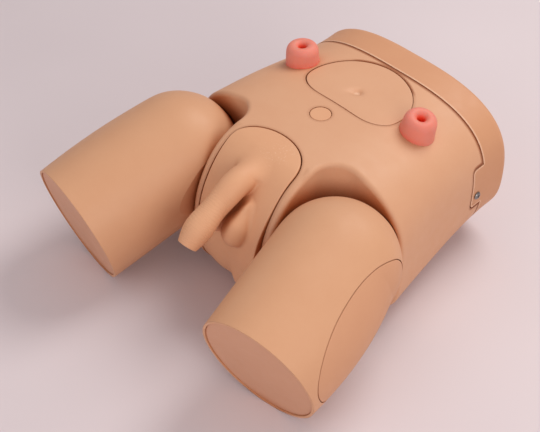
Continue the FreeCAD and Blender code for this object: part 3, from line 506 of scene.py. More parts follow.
class Graph:
    """A procedural material under construction.

    The samples are the rays that a place sends out to look for edges and for the room around it.
    The edge limits are the openness, measured from inside the piece, off an edge and on it.
    """

    bevel_samples = 4
    room_samples = 6
    edge_limits: Pair = (0.99, 0.68)

    def __init__(self, name: str) -> None:
        """Start a material that holds one principled shader and reads object coordinates.

        Args:
            name: Name of the material.
        """
        self.material = bpy.data.materials.new(name)
        self.material.use_nodes = True
        self.tree = self.material.node_tree
        self.tree.nodes.clear()
        output = self.tree.nodes.new("ShaderNodeOutputMaterial")
        self.shader = self.tree.nodes.new("ShaderNodeBsdfPrincipled")
        self.link(self.shader.outputs["BSDF"], output.inputs["Surface"])
        self.place = self.tree.nodes.new("ShaderNodeTexCoord").outputs["Object"]

    def link(self, source: Socket, target: Socket) -> None:
        """Join two sockets."""
        self.tree.links.new(source, target)

    def node(self, kind: str, values: dict[str | int, float | Row]) -> bpy.types.Node:
        """Add a node and set values on its inputs.

        Args:
            kind: Type of the node.
            values: Value of each input, by its name or number.

        Returns:
            The node.
        """
        node = self.tree.nodes.new(kind)
        for slot, value in values.items():
            node.inputs[slot].default_value = value
        return node

    def noise(self, scale: float, detail: float = 3.0, rough: float = 0.5) -> Socket:
        """Add a noise pattern.

        Args:
            scale: Number of features to the metre.
            detail: Number of finer layers.
            rough: Share of each finer layer.

        Returns:
            The pattern's factor.
        """
        node = self.node("ShaderNodeTexNoise", {"Scale": scale, "Detail": detail, "Roughness": rough})
        self.link(self.place, node.inputs["Vector"])
        return node.outputs["Fac"]

    def cells(self, scale: float) -> Socket:
        """Add a pattern of scattered points.

        Args:
            scale: Number of points to the metre.

        Returns:
            The distance from the nearest point.
        """
        node = self.node("ShaderNodeTexVoronoi", {"Scale": scale})
        self.link(self.place, node.inputs["Vector"])
        return node.outputs["Distance"]

    def remap(self, value: Socket, low: float, high: float, start: float, end: float) -> Socket:
        """Carry a value from one range onto another, held at both ends.

        Args:
            value: The value.
            low: Value that becomes the start.
            high: Value that becomes the end.
            start: Result at the low value.
            end: Result at the high value.

        Returns:
            The result.
        """
        limits = {"From Min": low, "From Max": high, "To Min": start, "To Max": end}
        node = self.node("ShaderNodeMapRange", limits)
        self.link(value, node.inputs["Value"])
        return node.outputs["Result"]

    def layer(self, share: Socket, over: Colour) -> bpy.types.Node:
        """Add a node that lays a plain colour over its input A.

        Args:
            share: Share of the colour.
            over: The colour.

        Returns:
            The node, its input A still free.
        """
        node = self.tree.nodes.new("ShaderNodeMix")
        node.data_type = "RGBA"
        node.inputs["B"].default_value = (*over, 1.0)
        self.link(share, node.inputs["Factor"])
        return node

    def tint(self, share: Socket, first: Colour, second: Colour) -> Socket:
        """Mix two plain colours.

        Args:
            share: Share of the second colour.
            first: The first colour.
            second: The second colour.

        Returns:
            The mixed colour.
        """
        node = self.layer(share, second)
        node.inputs["A"].default_value = (*first, 1.0)
        return node.outputs["Result"]

    def overlay(self, share: Socket, under: Socket, over: Colour) -> Socket:
        """Lay a plain colour over a colour pattern.

        Args:
            share: Share of the plain colour.
            under: The colour pattern.
            over: The plain colour.

        Returns:
            The mixed colour.
        """
        node = self.layer(share, over)
        self.link(under, node.inputs["A"])
        return node.outputs["Result"]

    def product(self, first: Socket, second: Socket) -> Socket:
        """Multiply two values.

        Args:
            first: The first value.
            second: The second value.

        Returns:
            Their product.
        """
        node = self.tree.nodes.new("ShaderNodeMath")
        node.operation = "MULTIPLY"
        self.link(first, node.inputs[0])
        self.link(second, node.inputs[1])
        return node.outputs["Value"]

    def distance_from(self, spot: Row) -> Socket:
        """Measure from a spot.

        Args:
            spot: The spot in metres.

        Returns:
            The distance in metres.
        """
        node = self.node("ShaderNodeVectorMath", {1: spot})
        node.operation = "DISTANCE"
        self.link(self.place, node.inputs[0])
        return node.outputs["Value"]

    def rounded(self, radius: float) -> Socket:
        """Turn normals softly over edges, as a moulding's small radius does.

        Args:
            radius: The radius in metres.

        Returns:
            The normals.
        """
        node = self.node("ShaderNodeBevel", {"Radius": radius})
        node.samples = self.bevel_samples
        return node.outputs["Normal"]

    def along_y(self) -> Socket:
        """Read the place along the body's length.

        Returns:
            The place in metres.
        """
        node = self.tree.nodes.new("ShaderNodeSeparateXYZ")
        self.link(self.place, node.inputs[0])
        return node.outputs["Y"]

    def openness(self, reach: float) -> Socket:
        """Measure how open a place is to the room around it.

        Args:
            reach: How far the room counts, in metres.

        Returns:
            1 in the open, 0 in a crevice.
        """
        node = self.node("ShaderNodeAmbientOcclusion", {"Distance": reach})
        node.samples = self.room_samples
        return node.outputs["AO"]

    def edges(self, reach: float) -> Socket:
        """Measure, from inside the piece, how near a place is to a sharp outer edge.

        Args:
            reach: How far the edge counts, in metres.

        Returns:
            0 away from the edge, 1 on it.
        """
        node = self.node("ShaderNodeAmbientOcclusion", {"Distance": reach})
        node.samples = self.room_samples
        node.inside = True
        node.only_local = True
        return self.remap(node.outputs["AO"], *self.edge_limits, 0.0, 1.0)

    def bump(self, height: Socket, strength: float, depth: float, under: Socket | None = None) -> Socket:
        """Raise normals by a height pattern.

        Args:
            height: The pattern.
            strength: Share of the effect.
            depth: Height in metres for a pattern of 1.
            under: Normals to raise, or None for the surface's own.

        Returns:
            The raised normals.
        """
        node = self.node("ShaderNodeBump", {"Strength": strength, "Distance": depth})
        self.link(height, node.inputs["Height"])
        if under is not None:
            self.link(under, node.inputs["Normal"])
        return node.outputs["Normal"]


@dataclass(frozen=True)
class Skin:
    """A matt moulded skin: soft blotches, fine grain, painted shade in crevices and, if wanted, more.

    The crevice shade colour is painted shade: it fills places with little open room within its reach,
    in full, at its greatest share, at the first value of open_range. Normals turn softly over edges
    within lip. The colour edge is painted along sharp edges within edge_reach, and where edge_from_y
    is set, in full only past it: painted shade on the trunk by the waist seam, a painted highlight on
    the lips of the cap and the plate. Pimples are the height of the goose bumps round pubis_spot, and
    glow is the share of light that travels within the skin.
    """

    name: str
    ground: Colour
    blotch: Colour
    # Painted shade in crevices, seams and hollows: its colour, the reach of the room measured, and its
    # greatest share.
    crevice_shade: Colour = (0.46, 0.115, 0.022)
    crevice_shade_reach: float = 0.026
    crevice_shade_most: float = 0.95
    open_range: Pair = (0.2, 0.82)
    blotch_scale: float = 22.0
    grain_scale: float = 900.0
    grain_depth: float = 0.00006
    roughness: float = 0.5
    specular: float = 0.3
    glow: float = 0.0
    glow_reach: float = 0.004
    glow_tint: Colour = (1.0, 0.35, 0.18)
    pimples: float = 0.0
    pimple_scale: float = 350.0
    pimple_tint: Colour = (0.95, 0.62, 0.42)
    pimple_share: float = 0.6
    pubis_spot: Row = (0.012, -0.034, 0.206)
    pubis_reach: Pair = (0.012, 0.03)
    lip: float = 0.0
    # Painted edge shading: shade on the trunk by the waist seam, a highlight on the lips of the cap and the
    # plate.
    edge: Colour | None = None
    edge_reach: float = 0.0036
    painted_edge_share: float = 0.0
    edge_from_y: float | None = None
    edge_ramp: float = 0.006
    edge_least: float = 0.25

    def make(self) -> bpy.types.Material:
        """Build the material.

        Returns:
            The material.
        """
        graph = Graph(self.name)
        wide = graph.remap(graph.noise(self.blotch_scale, 4.0, 0.55), 0.35, 0.7, 0.0, 1.0)
        colour = graph.tint(wide, self.ground, self.blotch)
        speck = graph.remap(graph.noise(self.blotch_scale * 9, 3.0, 0.6), 0.5, 0.75, 0.0, 0.35)
        colour = graph.overlay(speck, colour, self.blotch)
        if self.pimples > 0:
            dots = graph.remap(graph.cells(self.pimple_scale), 0.05, 0.33, 1.0, 0.0)
            dots = graph.product(dots, self.pubis(graph))
            light = graph.remap(dots, 0.0, 1.0, 0.0, self.pimple_share)
            colour = graph.overlay(light, colour, self.pimple_tint)
        # Painted edge shading laid along sharp edges.
        if self.edge is not None:
            colour = graph.overlay(self.painted_edge_band(graph), colour, self.edge)
        # Painted shade: the crevice colour laid over places with little open room.
        shade = graph.remap(graph.openness(self.crevice_shade_reach), *self.open_range, self.crevice_shade_most, 0.0)
        graph.link(graph.overlay(shade, colour, self.crevice_shade), graph.shader.inputs["Base Color"])
        smooth, matt = self.roughness - 0.05, self.roughness + 0.06
        sheen = graph.remap(graph.noise(self.blotch_scale * 3), 0.3, 0.7, smooth, matt)
        graph.link(sheen, graph.shader.inputs["Roughness"])
        soft = graph.rounded(self.lip) if self.lip > 0 else None
        normal = graph.bump(graph.noise(self.grain_scale, 2.0), 0.6, self.grain_depth, soft)
        if self.pimples > 0:
            normal = graph.bump(dots, 0.9, self.pimples, normal)
        graph.link(normal, graph.shader.inputs["Normal"])
        inputs = graph.shader.inputs
        inputs["Specular IOR Level"].default_value = self.specular
        inputs["Subsurface Weight"].default_value = self.glow
        inputs["Subsurface Radius"].default_value = self.glow_tint
        inputs["Subsurface Scale"].default_value = self.glow_reach
        return graph.material

    def painted_edge_band(self, graph: Graph) -> Socket:
        """Work out the share of the painted edge shading.

        Args:
            graph: The material under construction.

        Returns:
            The share.
        """
        band = graph.remap(graph.edges(self.edge_reach), 0.0, 1.0, 0.0, self.painted_edge_share)
        if self.edge_from_y is None:
            return band
        full_y = self.edge_from_y + self.edge_ramp
        far = graph.remap(graph.along_y(), self.edge_from_y, full_y, self.edge_least, 1.0)
        return graph.product(band, far)

    def pubis(self, graph: Graph) -> Socket:
        """Work out the share of the goose bumps: patchy on the pubis, none further off.

        Args:
            graph: The material under construction.

        Returns:
            The share.
        """
        patch = graph.remap(graph.distance_from(self.pubis_spot), *self.pubis_reach, 1.0, 0.0)
        return graph.product(patch, graph.remap(graph.noise(55.0), 0.38, 0.6, 0.2, 1.0))


@dataclass(frozen=True)
class Moulding:
    """A plain moulded or turned finish with fine unevenness in tone, gloss and surface."""

    name: str
    light: Colour
    dark: Colour
    roughness: float = 0.4
    metallic: float = 0.0
    grain_scale: float = 500.0
    grain_depth: float = 0.00004
    clearness: float = 0.0

    def make(self) -> bpy.types.Material:
        """Build the material.

        Returns:
            The material.
        """
        graph = Graph(self.name)
        share = graph.remap(graph.noise(60.0, 4.0), 0.3, 0.7, 0.0, 1.0)
        graph.link(graph.tint(share, self.light, self.dark), graph.shader.inputs["Base Color"])
        smooth, matt = self.roughness - 0.06, self.roughness + 0.08
        gloss = graph.remap(graph.noise(180.0), 0.3, 0.7, smooth, matt)
        graph.link(gloss, graph.shader.inputs["Roughness"])
        normal = graph.bump(graph.noise(self.grain_scale, 3.0), 0.5, self.grain_depth)
        graph.link(normal, graph.shader.inputs["Normal"])
        graph.shader.inputs["Metallic"].default_value = self.metallic
        graph.shader.inputs["Transmission Weight"].default_value = self.clearness
        return graph.material


class Finish(Enum):
    """The finishes of the trainer."""

    # The trunk's edge colour is painted shade on its rounded edge by the waist seam.
    TRUNK_SKIN = Skin(
        "trunk_skin",
        (0.71, 0.38, 0.222),
        (0.695, 0.362, 0.208),
        lip=0.0022,
        edge=(0.3, 0.08, 0.022),
        painted_edge_share=0.95,
        edge_reach=0.0045,
        edge_from_y=0.165,
    )
    LIMB_SKIN = Skin("limb_skin", (0.695, 0.365, 0.205), (0.68, 0.35, 0.194), lip=0.0012)
    # The cap's edge colour is a painted highlight on its lip at the waist seam.
    CAP_SKIN = Skin(
        "cap_skin",
        (0.655, 0.32, 0.172),
        (0.64, 0.307, 0.164),
        lip=0.003,
        edge=(0.95, 0.6, 0.4),
        painted_edge_share=0.9,
        edge_reach=0.003,
    )
    # The plate's edge colour is a painted highlight on its lip.
    PLATE_SKIN = Skin(
        "plate_skin",
        (0.71, 0.38, 0.222),
        (0.695, 0.362, 0.208),
        lip=0.0012,
        edge=(0.85, 0.55, 0.37),
        painted_edge_share=0.6,
        edge_reach=0.0014,
    )
    SOFT_SKIN = Skin(
        "soft_skin",
        (0.755, 0.395, 0.22),
        (0.735, 0.372, 0.205),
        roughness=0.55,
        pimples=0.00022,
    )
    PAD_SKIN = Skin("pad_skin", (0.66, 0.33, 0.185), (0.645, 0.318, 0.178), roughness=0.55)
    LID_SKIN = Skin("lid_skin", (0.66, 0.345, 0.215), (0.645, 0.332, 0.205), roughness=0.6, lip=0.0008)
    # The stoma's crevice colour is a painted red shade in its funnel and hollows.
    STOMA_SKIN = Skin(
        "stoma_skin",
        (0.8, 0.26, 0.19),
        (0.78, 0.235, 0.17),
        crevice_shade=(0.95, 0.07, 0.015),
        crevice_shade_reach=0.014,
        glow=0.35,
        glow_reach=0.006,
    )
    WHITE = Moulding("white_moulding", (0.78, 0.78, 0.75), (0.72, 0.72, 0.69))
    BOTTLE = Moulding("milky_bottle", (0.75, 0.76, 0.74), (0.68, 0.7, 0.69), roughness=0.3, clearness=0.2)
    BLADDER = Moulding("bladder_rubber", (0.62, 0.3, 0.2), (0.55, 0.25, 0.16), roughness=0.5)
    HOSE = Moulding("clear_hose", (0.74, 0.71, 0.62), (0.68, 0.65, 0.56), roughness=0.25, clearness=0.3)
    CLIP = Moulding("hose_clip", (0.74, 0.74, 0.75), (0.66, 0.66, 0.68), roughness=0.25)
    STEEL = Moulding("bright_steel", (0.36, 0.34, 0.33), (0.24, 0.225, 0.22), roughness=0.36, metallic=1.0)
    NYLON = Moulding("nylon_washer", (0.85, 0.85, 0.82), (0.78, 0.78, 0.75))


class Finishes:
    """The materials of all finishes, each built once."""

    def __init__(self) -> None:
        """Build every finish."""
        self.made = {finish: finish.value.make() for finish in Finish}

    def dress(self, piece: bpy.types.Object, finish: Finish) -> None:
        """Give an object one finish in all its material slots."""
        piece.data.materials.clear()
        piece.data.materials.append(self.made[finish])


NODE_FINISH: dict[str, Finish] = {
    "torso_shell": Finish.TRUNK_SKIN,
    "waist_cap": Finish.CAP_SKIN,
    "thigh_left": Finish.LIMB_SKIN,
    "thigh_right": Finish.LIMB_SKIN,
    "abdomen_plate": Finish.PLATE_SKIN,
    "suprapubic_pad": Finish.SOFT_SKIN,
    "male_insert": Finish.SOFT_SKIN,
    "injection_pad_left": Finish.PAD_SKIN,
    "injection_pad_right": Finish.PAD_SKIN,
    "thigh_end_cap_left": Finish.LID_SKIN,
    "thigh_end_cap_right": Finish.LID_SKIN,
    "stoma_left": Finish.STOMA_SKIN,
    "stoma_right": Finish.STOMA_SKIN,
    "stoma_collars": Finish.WHITE,
    "bladder_valve": Finish.WHITE,
    "bladder_cradle": Finish.WHITE,
    "bottle_saddles": Finish.WHITE,
    "bowel_bottle": Finish.BOTTLE,
    "bladder": Finish.BLADDER,
    "urethra_tube": Finish.HOSE,
    "bowel_tube_left": Finish.HOSE,
    "bowel_tube_right": Finish.HOSE,
    "urethra_hose_clips": Finish.CLIP,
    "bowel_hose_clips": Finish.CLIP,
    "cap_screws": Finish.STEEL,
    "hip_bolt_left": Finish.STEEL,
    "hip_bolt_right": Finish.STEEL,
    "hip_wing_nut_left": Finish.STEEL,
    "hip_wing_nut_right": Finish.STEEL,
    "hip_washers": Finish.NYLON,
}


@dataclass(frozen=True)
class ShaftForm:
    """The penis: its centre line, as place along Y, height and radius, from the root to the tip."""

    line: tuple[Row, ...] = (
        (0.0, 170.0, 22.0),
        (-20.0, 180.0, 19.0),
        (-39.0, 184.0, 17.6),
        (-60.0, 176.5, 16.8),
        (-82.0, 165.0, 15.6),
        (-97.0, 156.0, 17.2),
        (-107.0, 149.0, 17.8),
        (-117.0, 141.2, 15.6),
        (-124.0, 135.0, 12.9),
    )
    stations: int = 420
    wrinkle_step: float = 2.3
    wrinkle_depth: float = 0.2
    end_profile: tuple[Pair, ...] = (
        (-0.5, 12.9),
        (0.2, 12.95),
        (0.8, 12.6),
        (1.15, 11.9),
        (1.2, 10.8),
        (0.9, 9.2),
        (0.5, 7.4),
        (0.1, 5.6),
        (-0.8, 4.1),
        (-2.2, 3.2),
        (-6.0, 3.0),
        (-16.0, 3.0),
    )

    def path(self) -> tuple[Array, Array, Array, Array]:
        """Work out the stations by a spline along the length.

        Returns:
            The stations' places, headings, upward directions and radii.
        """
        knots = np.array(self.line)
        reach = length_along(knots[:, :2])
        at = spline(reach, knots, np.linspace(0, reach[-1], self.stations))
        place = np.c_[np.zeros(len(at)), at[:, :2]]
        heading = unit(np.gradient(place, axis=0))
        upward = np.c_[heading[:, 0], heading[:, 2], -heading[:, 1]]
        return place, heading, upward, at[:, 2]

    def field(self, points: Array) -> Array:
        """Distance from the centre line at the nearest station less the radius there.

        The radius goes on changing along the heading as it does at the station.

        Args:
            points: Points in millimetres, shape (n, 3).

        Returns:
            The distance of each point, negative inside.
        """
        place, _, _, radius = self.path()
        gaps = np.linalg.norm(points[:, None, 1:] - place[None, :, 1:], axis=2)
        nearest = np.argmin(gaps, axis=1)
        heading = unit(np.gradient(place, axis=0))[nearest]
        away = points - place[nearest]
        along = (away * heading).sum(axis=1)
        across = np.linalg.norm(away - heading * along[:, None], axis=1)
        spread = np.gradient(radius)[nearest] / np.linalg.norm(place[1] - place[0])
        return across - radius[nearest] - spread * along

    def tube(self, station: Array, angle: Array, wrinkled: bool) -> Array:
        """Points of the tube: centre + radius (cos a across + sin a upward), with ring-like wrinkles.

        Args:
            station: Station numbers with fractions, shape (rows, columns).
            angle: Angle of each column.
            wrinkled: Whether the radius carries the wrinkles.

        Returns:
            Points, shape (rows, columns, 3).
        """
        place, _, upward, radius = self.path()
        numbers = np.arange(self.stations)
        at = [np.interp(station, numbers, column) for column in (*place.T, *upward.T, radius)]
        centre, rise, r = np.stack(at[:3], axis=-1), np.stack(at[3:6], axis=-1), at[6]
        if wrinkled:
            r = r + self.wrinkles(station, angle)
        across = np.array([1.0, 0.0, 0.0])
        turn = np.cos(angle)[None, :, None] * across + np.sin(angle)[None, :, None] * rise
        return centre + unit(turn) * r[..., None]

    def wrinkles(self, station: Array, angle: Array) -> Array:
        """Height of the wrinkles: waves along the length whose phase and strength wander round it.

        A fine wave and one 1.7 times as long take turns, and both fade out at the tip and the root.

        Args:
            station: Station numbers with fractions, shape (rows, columns).
            angle: Angle of each column.

        Returns:
            The height at each place, shape (rows, columns).
        """
        place = self.path()[0]
        length = np.linalg.norm(np.diff(place, axis=0), axis=1).sum()
        s = station / (self.stations - 1) * length
        phase = 0.9 * np.sin(2 * angle + s / 17) + 0.5 * np.sin(5 * angle - s / 9)
        wave = np.sin(2 * np.pi * s / self.wrinkle_step + phase)
        second = np.sin(2 * np.pi * s / (self.wrinkle_step * 1.7) - phase * 1.6)
        strength = 0.55 + 0.45 * np.sin(3 * angle + s / 6)
        fade = soft_step(s, 0.35 * length, 0.55 * length) * (1 - soft_step(s, 0.95 * length, length))
        return self.wrinkle_depth * fade * (strength * wave + 0.6 * (1 - strength) * second)


@dataclass
class InsertSkin:
    """The soft insert: a mound in the shell's arch, with buttocks, scrotum and penis in one skin.

    Pairs that end in span, end or side are the places between which a soft step runs. Fields that
    end in blend are the reaches of the smooth minimum or maximum that joins two forms; root_blend
    holds the one under the shaft and what is added above it. Fields that end in half are half axes.
    The hollow is the room left round the shaft, lobe_fall the angles from the forward axis between
    which the rays of the lobes stand, and the nipple holds its front, rear, height and radius.
    """

    half_width: float = 54.5
    side_y: float = -4.0
    crown: float = 40.0
    arch_z: float = 206.0
    low_z: float = 14.0
    foot_z: float = 60.0
    near_gap: float = 0.9
    rim_radius: float = 1.6
    seat_depth: float = 3.0
    proud: float = 9.5
    proud_span: Pair = (188.0, 95.0)
    proud_end: Pair = (80.0, 20.0)
    proud_foot: float = 0.4
    near_side: Pair = (-15.0, 48.0)
    sunk: float = 1.0
    sunk_span: Pair = (92.0, 40.0)
    buttocks: tuple[Row, ...] = ((25.0, -41.0, 52.0), (-25.0, -31.0, 56.0))
    buttock_half: Row = (26.0, 25.0, 34.0)
    buttock_blend: float = 8.0
    lobes: tuple[Row, ...] = ((18.5, -60.0, 132.0), (-14.0, -57.0, 134.0))
    lobe_half: Row = (18.0, 22.5, 24.0)
    cords: tuple[Row, ...] = ((18.0, -42.0, 149.0), (-16.0, -44.0, 150.0))
    cord_half: Row = (13.0, 19.0, 22.0)
    cord_blend: float = 10.0
    cleft_blend: float = 3.5
    hollow: float = 6.5
    hollow_blend: float = 7.0
    body_blend: float = 4.0
    lobe_centre: Row = (0.0, -56.0, 133.0)
    lobe_start: float = 14.0
    lobe_fall: Pair = (0.02, 2.3)
    lobe_blend: float = 5.0
    root_blend: Pair = (3.0, 13.0)
    root_station: int = 20
    tip_stations: int = 3
    shaft: ShaftForm = ShaftForm()
    nipple: Row = (-36.0, -6.0, 171.5, 5.5)
    bore: float = 3.0
    dip: float = 0.5
    dip_tip: float = 2.0
    rim_steps: Row = (0.0, 0.12, 0.35, 0.7, 1.15, 1.7, 2.6, 4.0)
    across_steps: int = 74
    arch_steps: int = 44
    arch_start: float = 0.05
    turning_rows: int = 18
    down_steps: int = 170
    around_steps: int = 112
    lobe_rows: int = 46
    shaft_rows: int = 230

    def proudness(self, points: Array) -> Array:
        """How far the moulding stands out of the shell, less the sinking.

        It stands out on the near side only, more and more down the front and less at the foot.

        Args:
            points: Points in millimetres, shape (n, 3).

        Returns:
            The height at each point.
        """
        rise = soft_step(points[:, 2], *self.proud_span[::-1])
        fall = soft_step(points[:, 2], *self.proud_end[::-1])
        near = soft_step(points[:, 0], *self.near_side)
        foot = self.proud_foot + (1 - self.proud_foot) * fall
        return self.proud * (1 - rise) * foot * near - self.sinking(points)

    def sinking(self, points: Array) -> Array:
        """How far the moulding lies back under the crotch, on the side away from the proud edge."""
        near = soft_step(points[:, 0], *self.near_side)
        return self.sunk * (1 - near) * (1 - soft_step(points[:, 2], *self.sunk_span[::-1]))

    def plain_field(self, points: Array) -> Array:
        """Distance outside the trunk, less the proudness."""
        return TORSO.field(points) - self.proudness(points)

    def mound_field(self, points: Array) -> Array:
        """Distance outside the plain mound blended with the buttocks.

        Args:
            points: Points in millimetres, shape (n, 3).

        Returns:
            The distance of each point, negative inside.
        """
        found = self.plain_field(points)
        for centre in self.buttocks:
            buttock = ellipsoid_field(points, centre, self.buttock_half)
            found = smooth_min(found, buttock, self.buttock_blend)
        return found

    def lobe_field(self, points: Array) -> Array:
        """Distance outside the scrotum's lobes, drawn up beside the penis and hollowed along it.

        Args:
            points: Points in millimetres, shape (n, 3).

        Returns:
            The distance of each point, negative inside.
        """
        sides = []
        for lobe, cord in zip(self.lobes, self.cords):
            low = ellipsoid_field(points, lobe, self.lobe_half)
            high = ellipsoid_field(points, cord, self.cord_half)
            sides.append(smooth_min(low, high, self.cord_blend))
        both = smooth_min(*sides, self.cleft_blend)
        return smooth_max(both, self.hollow - self.shaft.field(points), self.hollow_blend)

    def body_field(self, points: Array) -> Array:
        """Distance outside everything that the penis grows out of."""
        return smooth_min(self.mound_field(points), self.lobe_field(points), self.body_blend)

    def rows(self) -> tuple[Array, Array]:
        """Start points and movement directions of the mound's rows.

        The first rows cut the arch, at y = side + crown cos t with a half width of sin t; the rest
        go down the crotch's side view. Columns stand at shares of the half width. The first rows
        move upwards, and down the side view the movement turns square to it.

        Returns:
            Start points and directions, both of shape (rows, columns, 3).
        """
        fine = 1 - np.array(self.rim_steps) / self.half_width
        share = np.r_[-fine, np.linspace(-fine[-1], fine[-1], self.across_steps)[1:-1], fine[::-1]]
        turn = np.linspace(self.arch_start, np.pi / 2, self.arch_steps)
        line = TORSO.crotch_line()
        down = line[(line[:, 0] < self.side_y - 1) | (line[:, 1] < self.foot_z)]
        reach = length_along(down)
        low = np.interp(self.low_z, down[::-1, 1], reach[::-1])
        inset = np.array(self.rim_steps[:-1])[::-1]
        at = np.r_[np.linspace(0, low - inset[0], self.down_steps), low - inset]
        side = np.c_[np.interp(at, reach, down[:, 0]), np.interp(at, reach, down[:, 1])]
        arch = np.c_[self.side_y + self.crown * np.cos(turn), np.full(len(turn), self.arch_z)]
        width = np.r_[np.sin(turn), np.ones(len(side))] * self.half_width
        spine = np.vstack([arch, side])
        start = np.empty((len(spine), len(share), 3))
        gap = self.near_gap / self.half_width * soft_step(share, 0.0, 1.0)
        start[..., 0] = width[:, None] * (share - gap)
        start[..., 1:] = spine[:, None]
        run = unit(np.gradient(side, axis=0))
        normal = np.c_[np.zeros(len(side)), run[:, 1], -run[:, 0]]
        blend = soft_step(np.arange(len(side)), 0, self.turning_rows)[:, None]
        up = np.array([0, 0, 1.0])
        normal = unit(normal * blend + up * (1 - blend))
        along = np.vstack([np.tile(up, (len(arch), 1)), normal])
        return start, np.repeat(along[:, None], len(share), axis=1)

    def edge_distance(self, points: Array) -> Array:
        """Distance from the outline: of the arch above, of the straight sides and foot below.

        Args:
            points: Points in millimetres, shape (n, 3).

        Returns:
            The distance of each point.
        """
        far = 99.0
        x, y = points[..., 0], points[..., 1]
        x = x + self.near_gap * soft_step(x, 0.0, self.half_width)
        above = np.maximum(y - self.side_y, 0)
        oval = np.hypot(x / self.half_width, above / self.crown)
        steep = np.hypot(x / self.half_width**2, above / self.crown**2) / np.maximum(oval, TINY)
        arch = (1 - oval) / np.maximum(steep, TINY)
        foot = np.where(y < self.side_y, points[..., 2] - self.low_z, far)
        return np.minimum(np.where(y > self.side_y, arch, self.half_width - np.abs(x)), foot)

    def mound(self, shell: Shell) -> None:
        """Lay the mound: a front with a rounded rim, a back behind it and a wall between the two.

        Args:
            shell: The surface to lay it in.
        """
        start, along = self.rows()
        shape = start.shape
        flat, push = start.reshape(-1, 3), along.reshape(-1, 3)
        face = slide(flat, push, self.mound_field)
        back = slide(flat, push, TORSO.field)
        back = back - push * (self.seat_depth + self.sinking(back))[:, None]
        drop = rim_drop(np.maximum(self.edge_distance(face), 0), self.rim_radius)
        face = (face - push * drop[:, None]).reshape(shape)
        back = back.reshape(shape)
        front, rear = shell.points(face), shell.points(back)
        shell.skin(front)
        shell.skin(rear)
        loops = [
            np.r_[numbers[0, :-1], numbers[:-1, -1], numbers[-1, :0:-1], numbers[:0:-1, 0]]
            for numbers in (front, rear)
        ]
        shell.skin(np.stack(loops), wrap=True)

    def scrotum(self, shell: Shell) -> None:
        """Grow the lobes out of the mound: rays from their middle to their field's zero surface.

        A first fan of rays finds where each column nears the mound; the rows then end there.

        Args:
            shell: The surface to lay them in.
        """
        angle = full_turn(self.around_steps)
        fall = np.linspace(*self.lobe_fall, 70)
        grid = self.lobe_rays(np.repeat(fall[:, None], len(angle), axis=1), angle)
        reach = np.full(len(angle), self.lobe_blend)
        edge = np.interp(crossing(grid, self.mound_field, reach), np.arange(len(fall)), fall)
        share = np.linspace(0.015, 1, self.lobe_rows)[:, None]
        cap = self.lobe_rays(share * edge, angle)
        run = skirt(cap[-1], self.lobe_field, self.mound_field, reach)
        self.close(shell, np.vstack([cap, run]), self.mound_field, cap[0].mean(axis=0))

    def lobe_rays(self, fall: Array, angle: Array) -> Array:
        """Points where rays from the lobes' middle leave them.

        Args:
            fall: Angle of each ray from the forward axis, shape (rows, columns).
            angle: Angle of each column round that axis.

        Returns:
            Points, shape (rows, columns, 3).
        """
        ray = np.stack([np.sin(fall) * np.cos(angle), -np.cos(fall), np.sin(fall) * np.sin(angle)], axis=-1)
        start = np.array(self.lobe_centre) + ray * self.lobe_start
        return slide(start.reshape(-1, 3), ray.reshape(-1, 3), self.lobe_field, 12).reshape(ray.shape)

    def penis(self, shell: Shell) -> None:
        """Grow the penis out of the mound, with its opening at the tip.

        The tube runs from the tip to where each column nears the body, sooner above than below, and
        the end profile is carried round the last station's heading.

        Args:
            shell: The surface to lay it in.
        """
        form = self.shaft
        angle = full_turn(self.around_steps)
        down = np.arange(form.stations - 1, self.root_station, -2.0)
        grid = form.tube(np.repeat(down[:, None], len(angle), axis=1), angle, False)
        above = soft_step(np.sin(angle), 0.0, 1.0)
        reach = self.root_blend[0] + self.root_blend[1] * above
        row = crossing(grid, self.body_field, reach)
        root = np.interp(row, np.arange(len(down)), down)
        tip = form.stations - 1 - self.tip_stations
        share = np.linspace(0, 1, self.shaft_rows)[:, None]
        tube = form.tube(tip + (root - tip) * share, angle, True)
        place, heading, upward, _ = form.path()
        ends = np.array(form.end_profile)[::-1]
        ring = np.cos(angle)[:, None] * np.array([1.0, 0, 0]) + np.sin(angle)[:, None] * upward[-1]
        mouth = place[-1] + heading[-1] * ends[:, None, :1] + ring * ends[:, None, 1:]
        run = skirt(tube[-1], form.field, self.body_field, reach)
        self.close(shell, np.vstack([mouth, tube, run]), self.body_field, mouth[0].mean(axis=0))

    def close(self, shell: Shell, rows: Array, base: Field, tip: Array) -> None:
        """Lay a growth's rows, its last one dipped under the surface, and close both its ends.

        Args:
            shell: The surface to lay it in.
            rows: The growth's rows from its free end, shape (rows, columns, 3).
            base: Field of the surface that it grows out of.
            tip: Point that closes the free end.
        """
        _, slope = slopes(rows[-1], base)
        dipped = rows[-1] - unit(slope) * self.dip
        numbers = shell.points(np.vstack([rows, dipped[None]]))
        shell.skin(numbers, wrap=True)
        shell.fan(numbers[0], tip)
        shell.fan(numbers[-1], dipped.mean(axis=0) - unit(slope.mean(axis=0)) * self.dip_tip)

    def inner_nipple(self, shell: Shell) -> None:
        """Lay the hose nipple behind the mound, a ring profile carried round its axis.

        Args:
            shell: The surface to lay it in.
        """
        front, rear, height, radius = self.nipple
        outside = [(front, radius), (rear - 1, radius), (rear, radius - 1)]
        profile = np.array([(front, self.bore), *outside, (rear, self.bore)])
        angle = full_turn(32)
        grid = np.empty((len(profile), len(angle), 3))
        grid[..., 0] = profile[:, 1:] * np.cos(angle)
        grid[..., 1] = profile[:, :1]
        grid[..., 2] = height + profile[:, 1:] * np.sin(angle)
        numbers = shell.points(grid)
        shell.skin(np.vstack([numbers, numbers[:1]]), wrap=True)

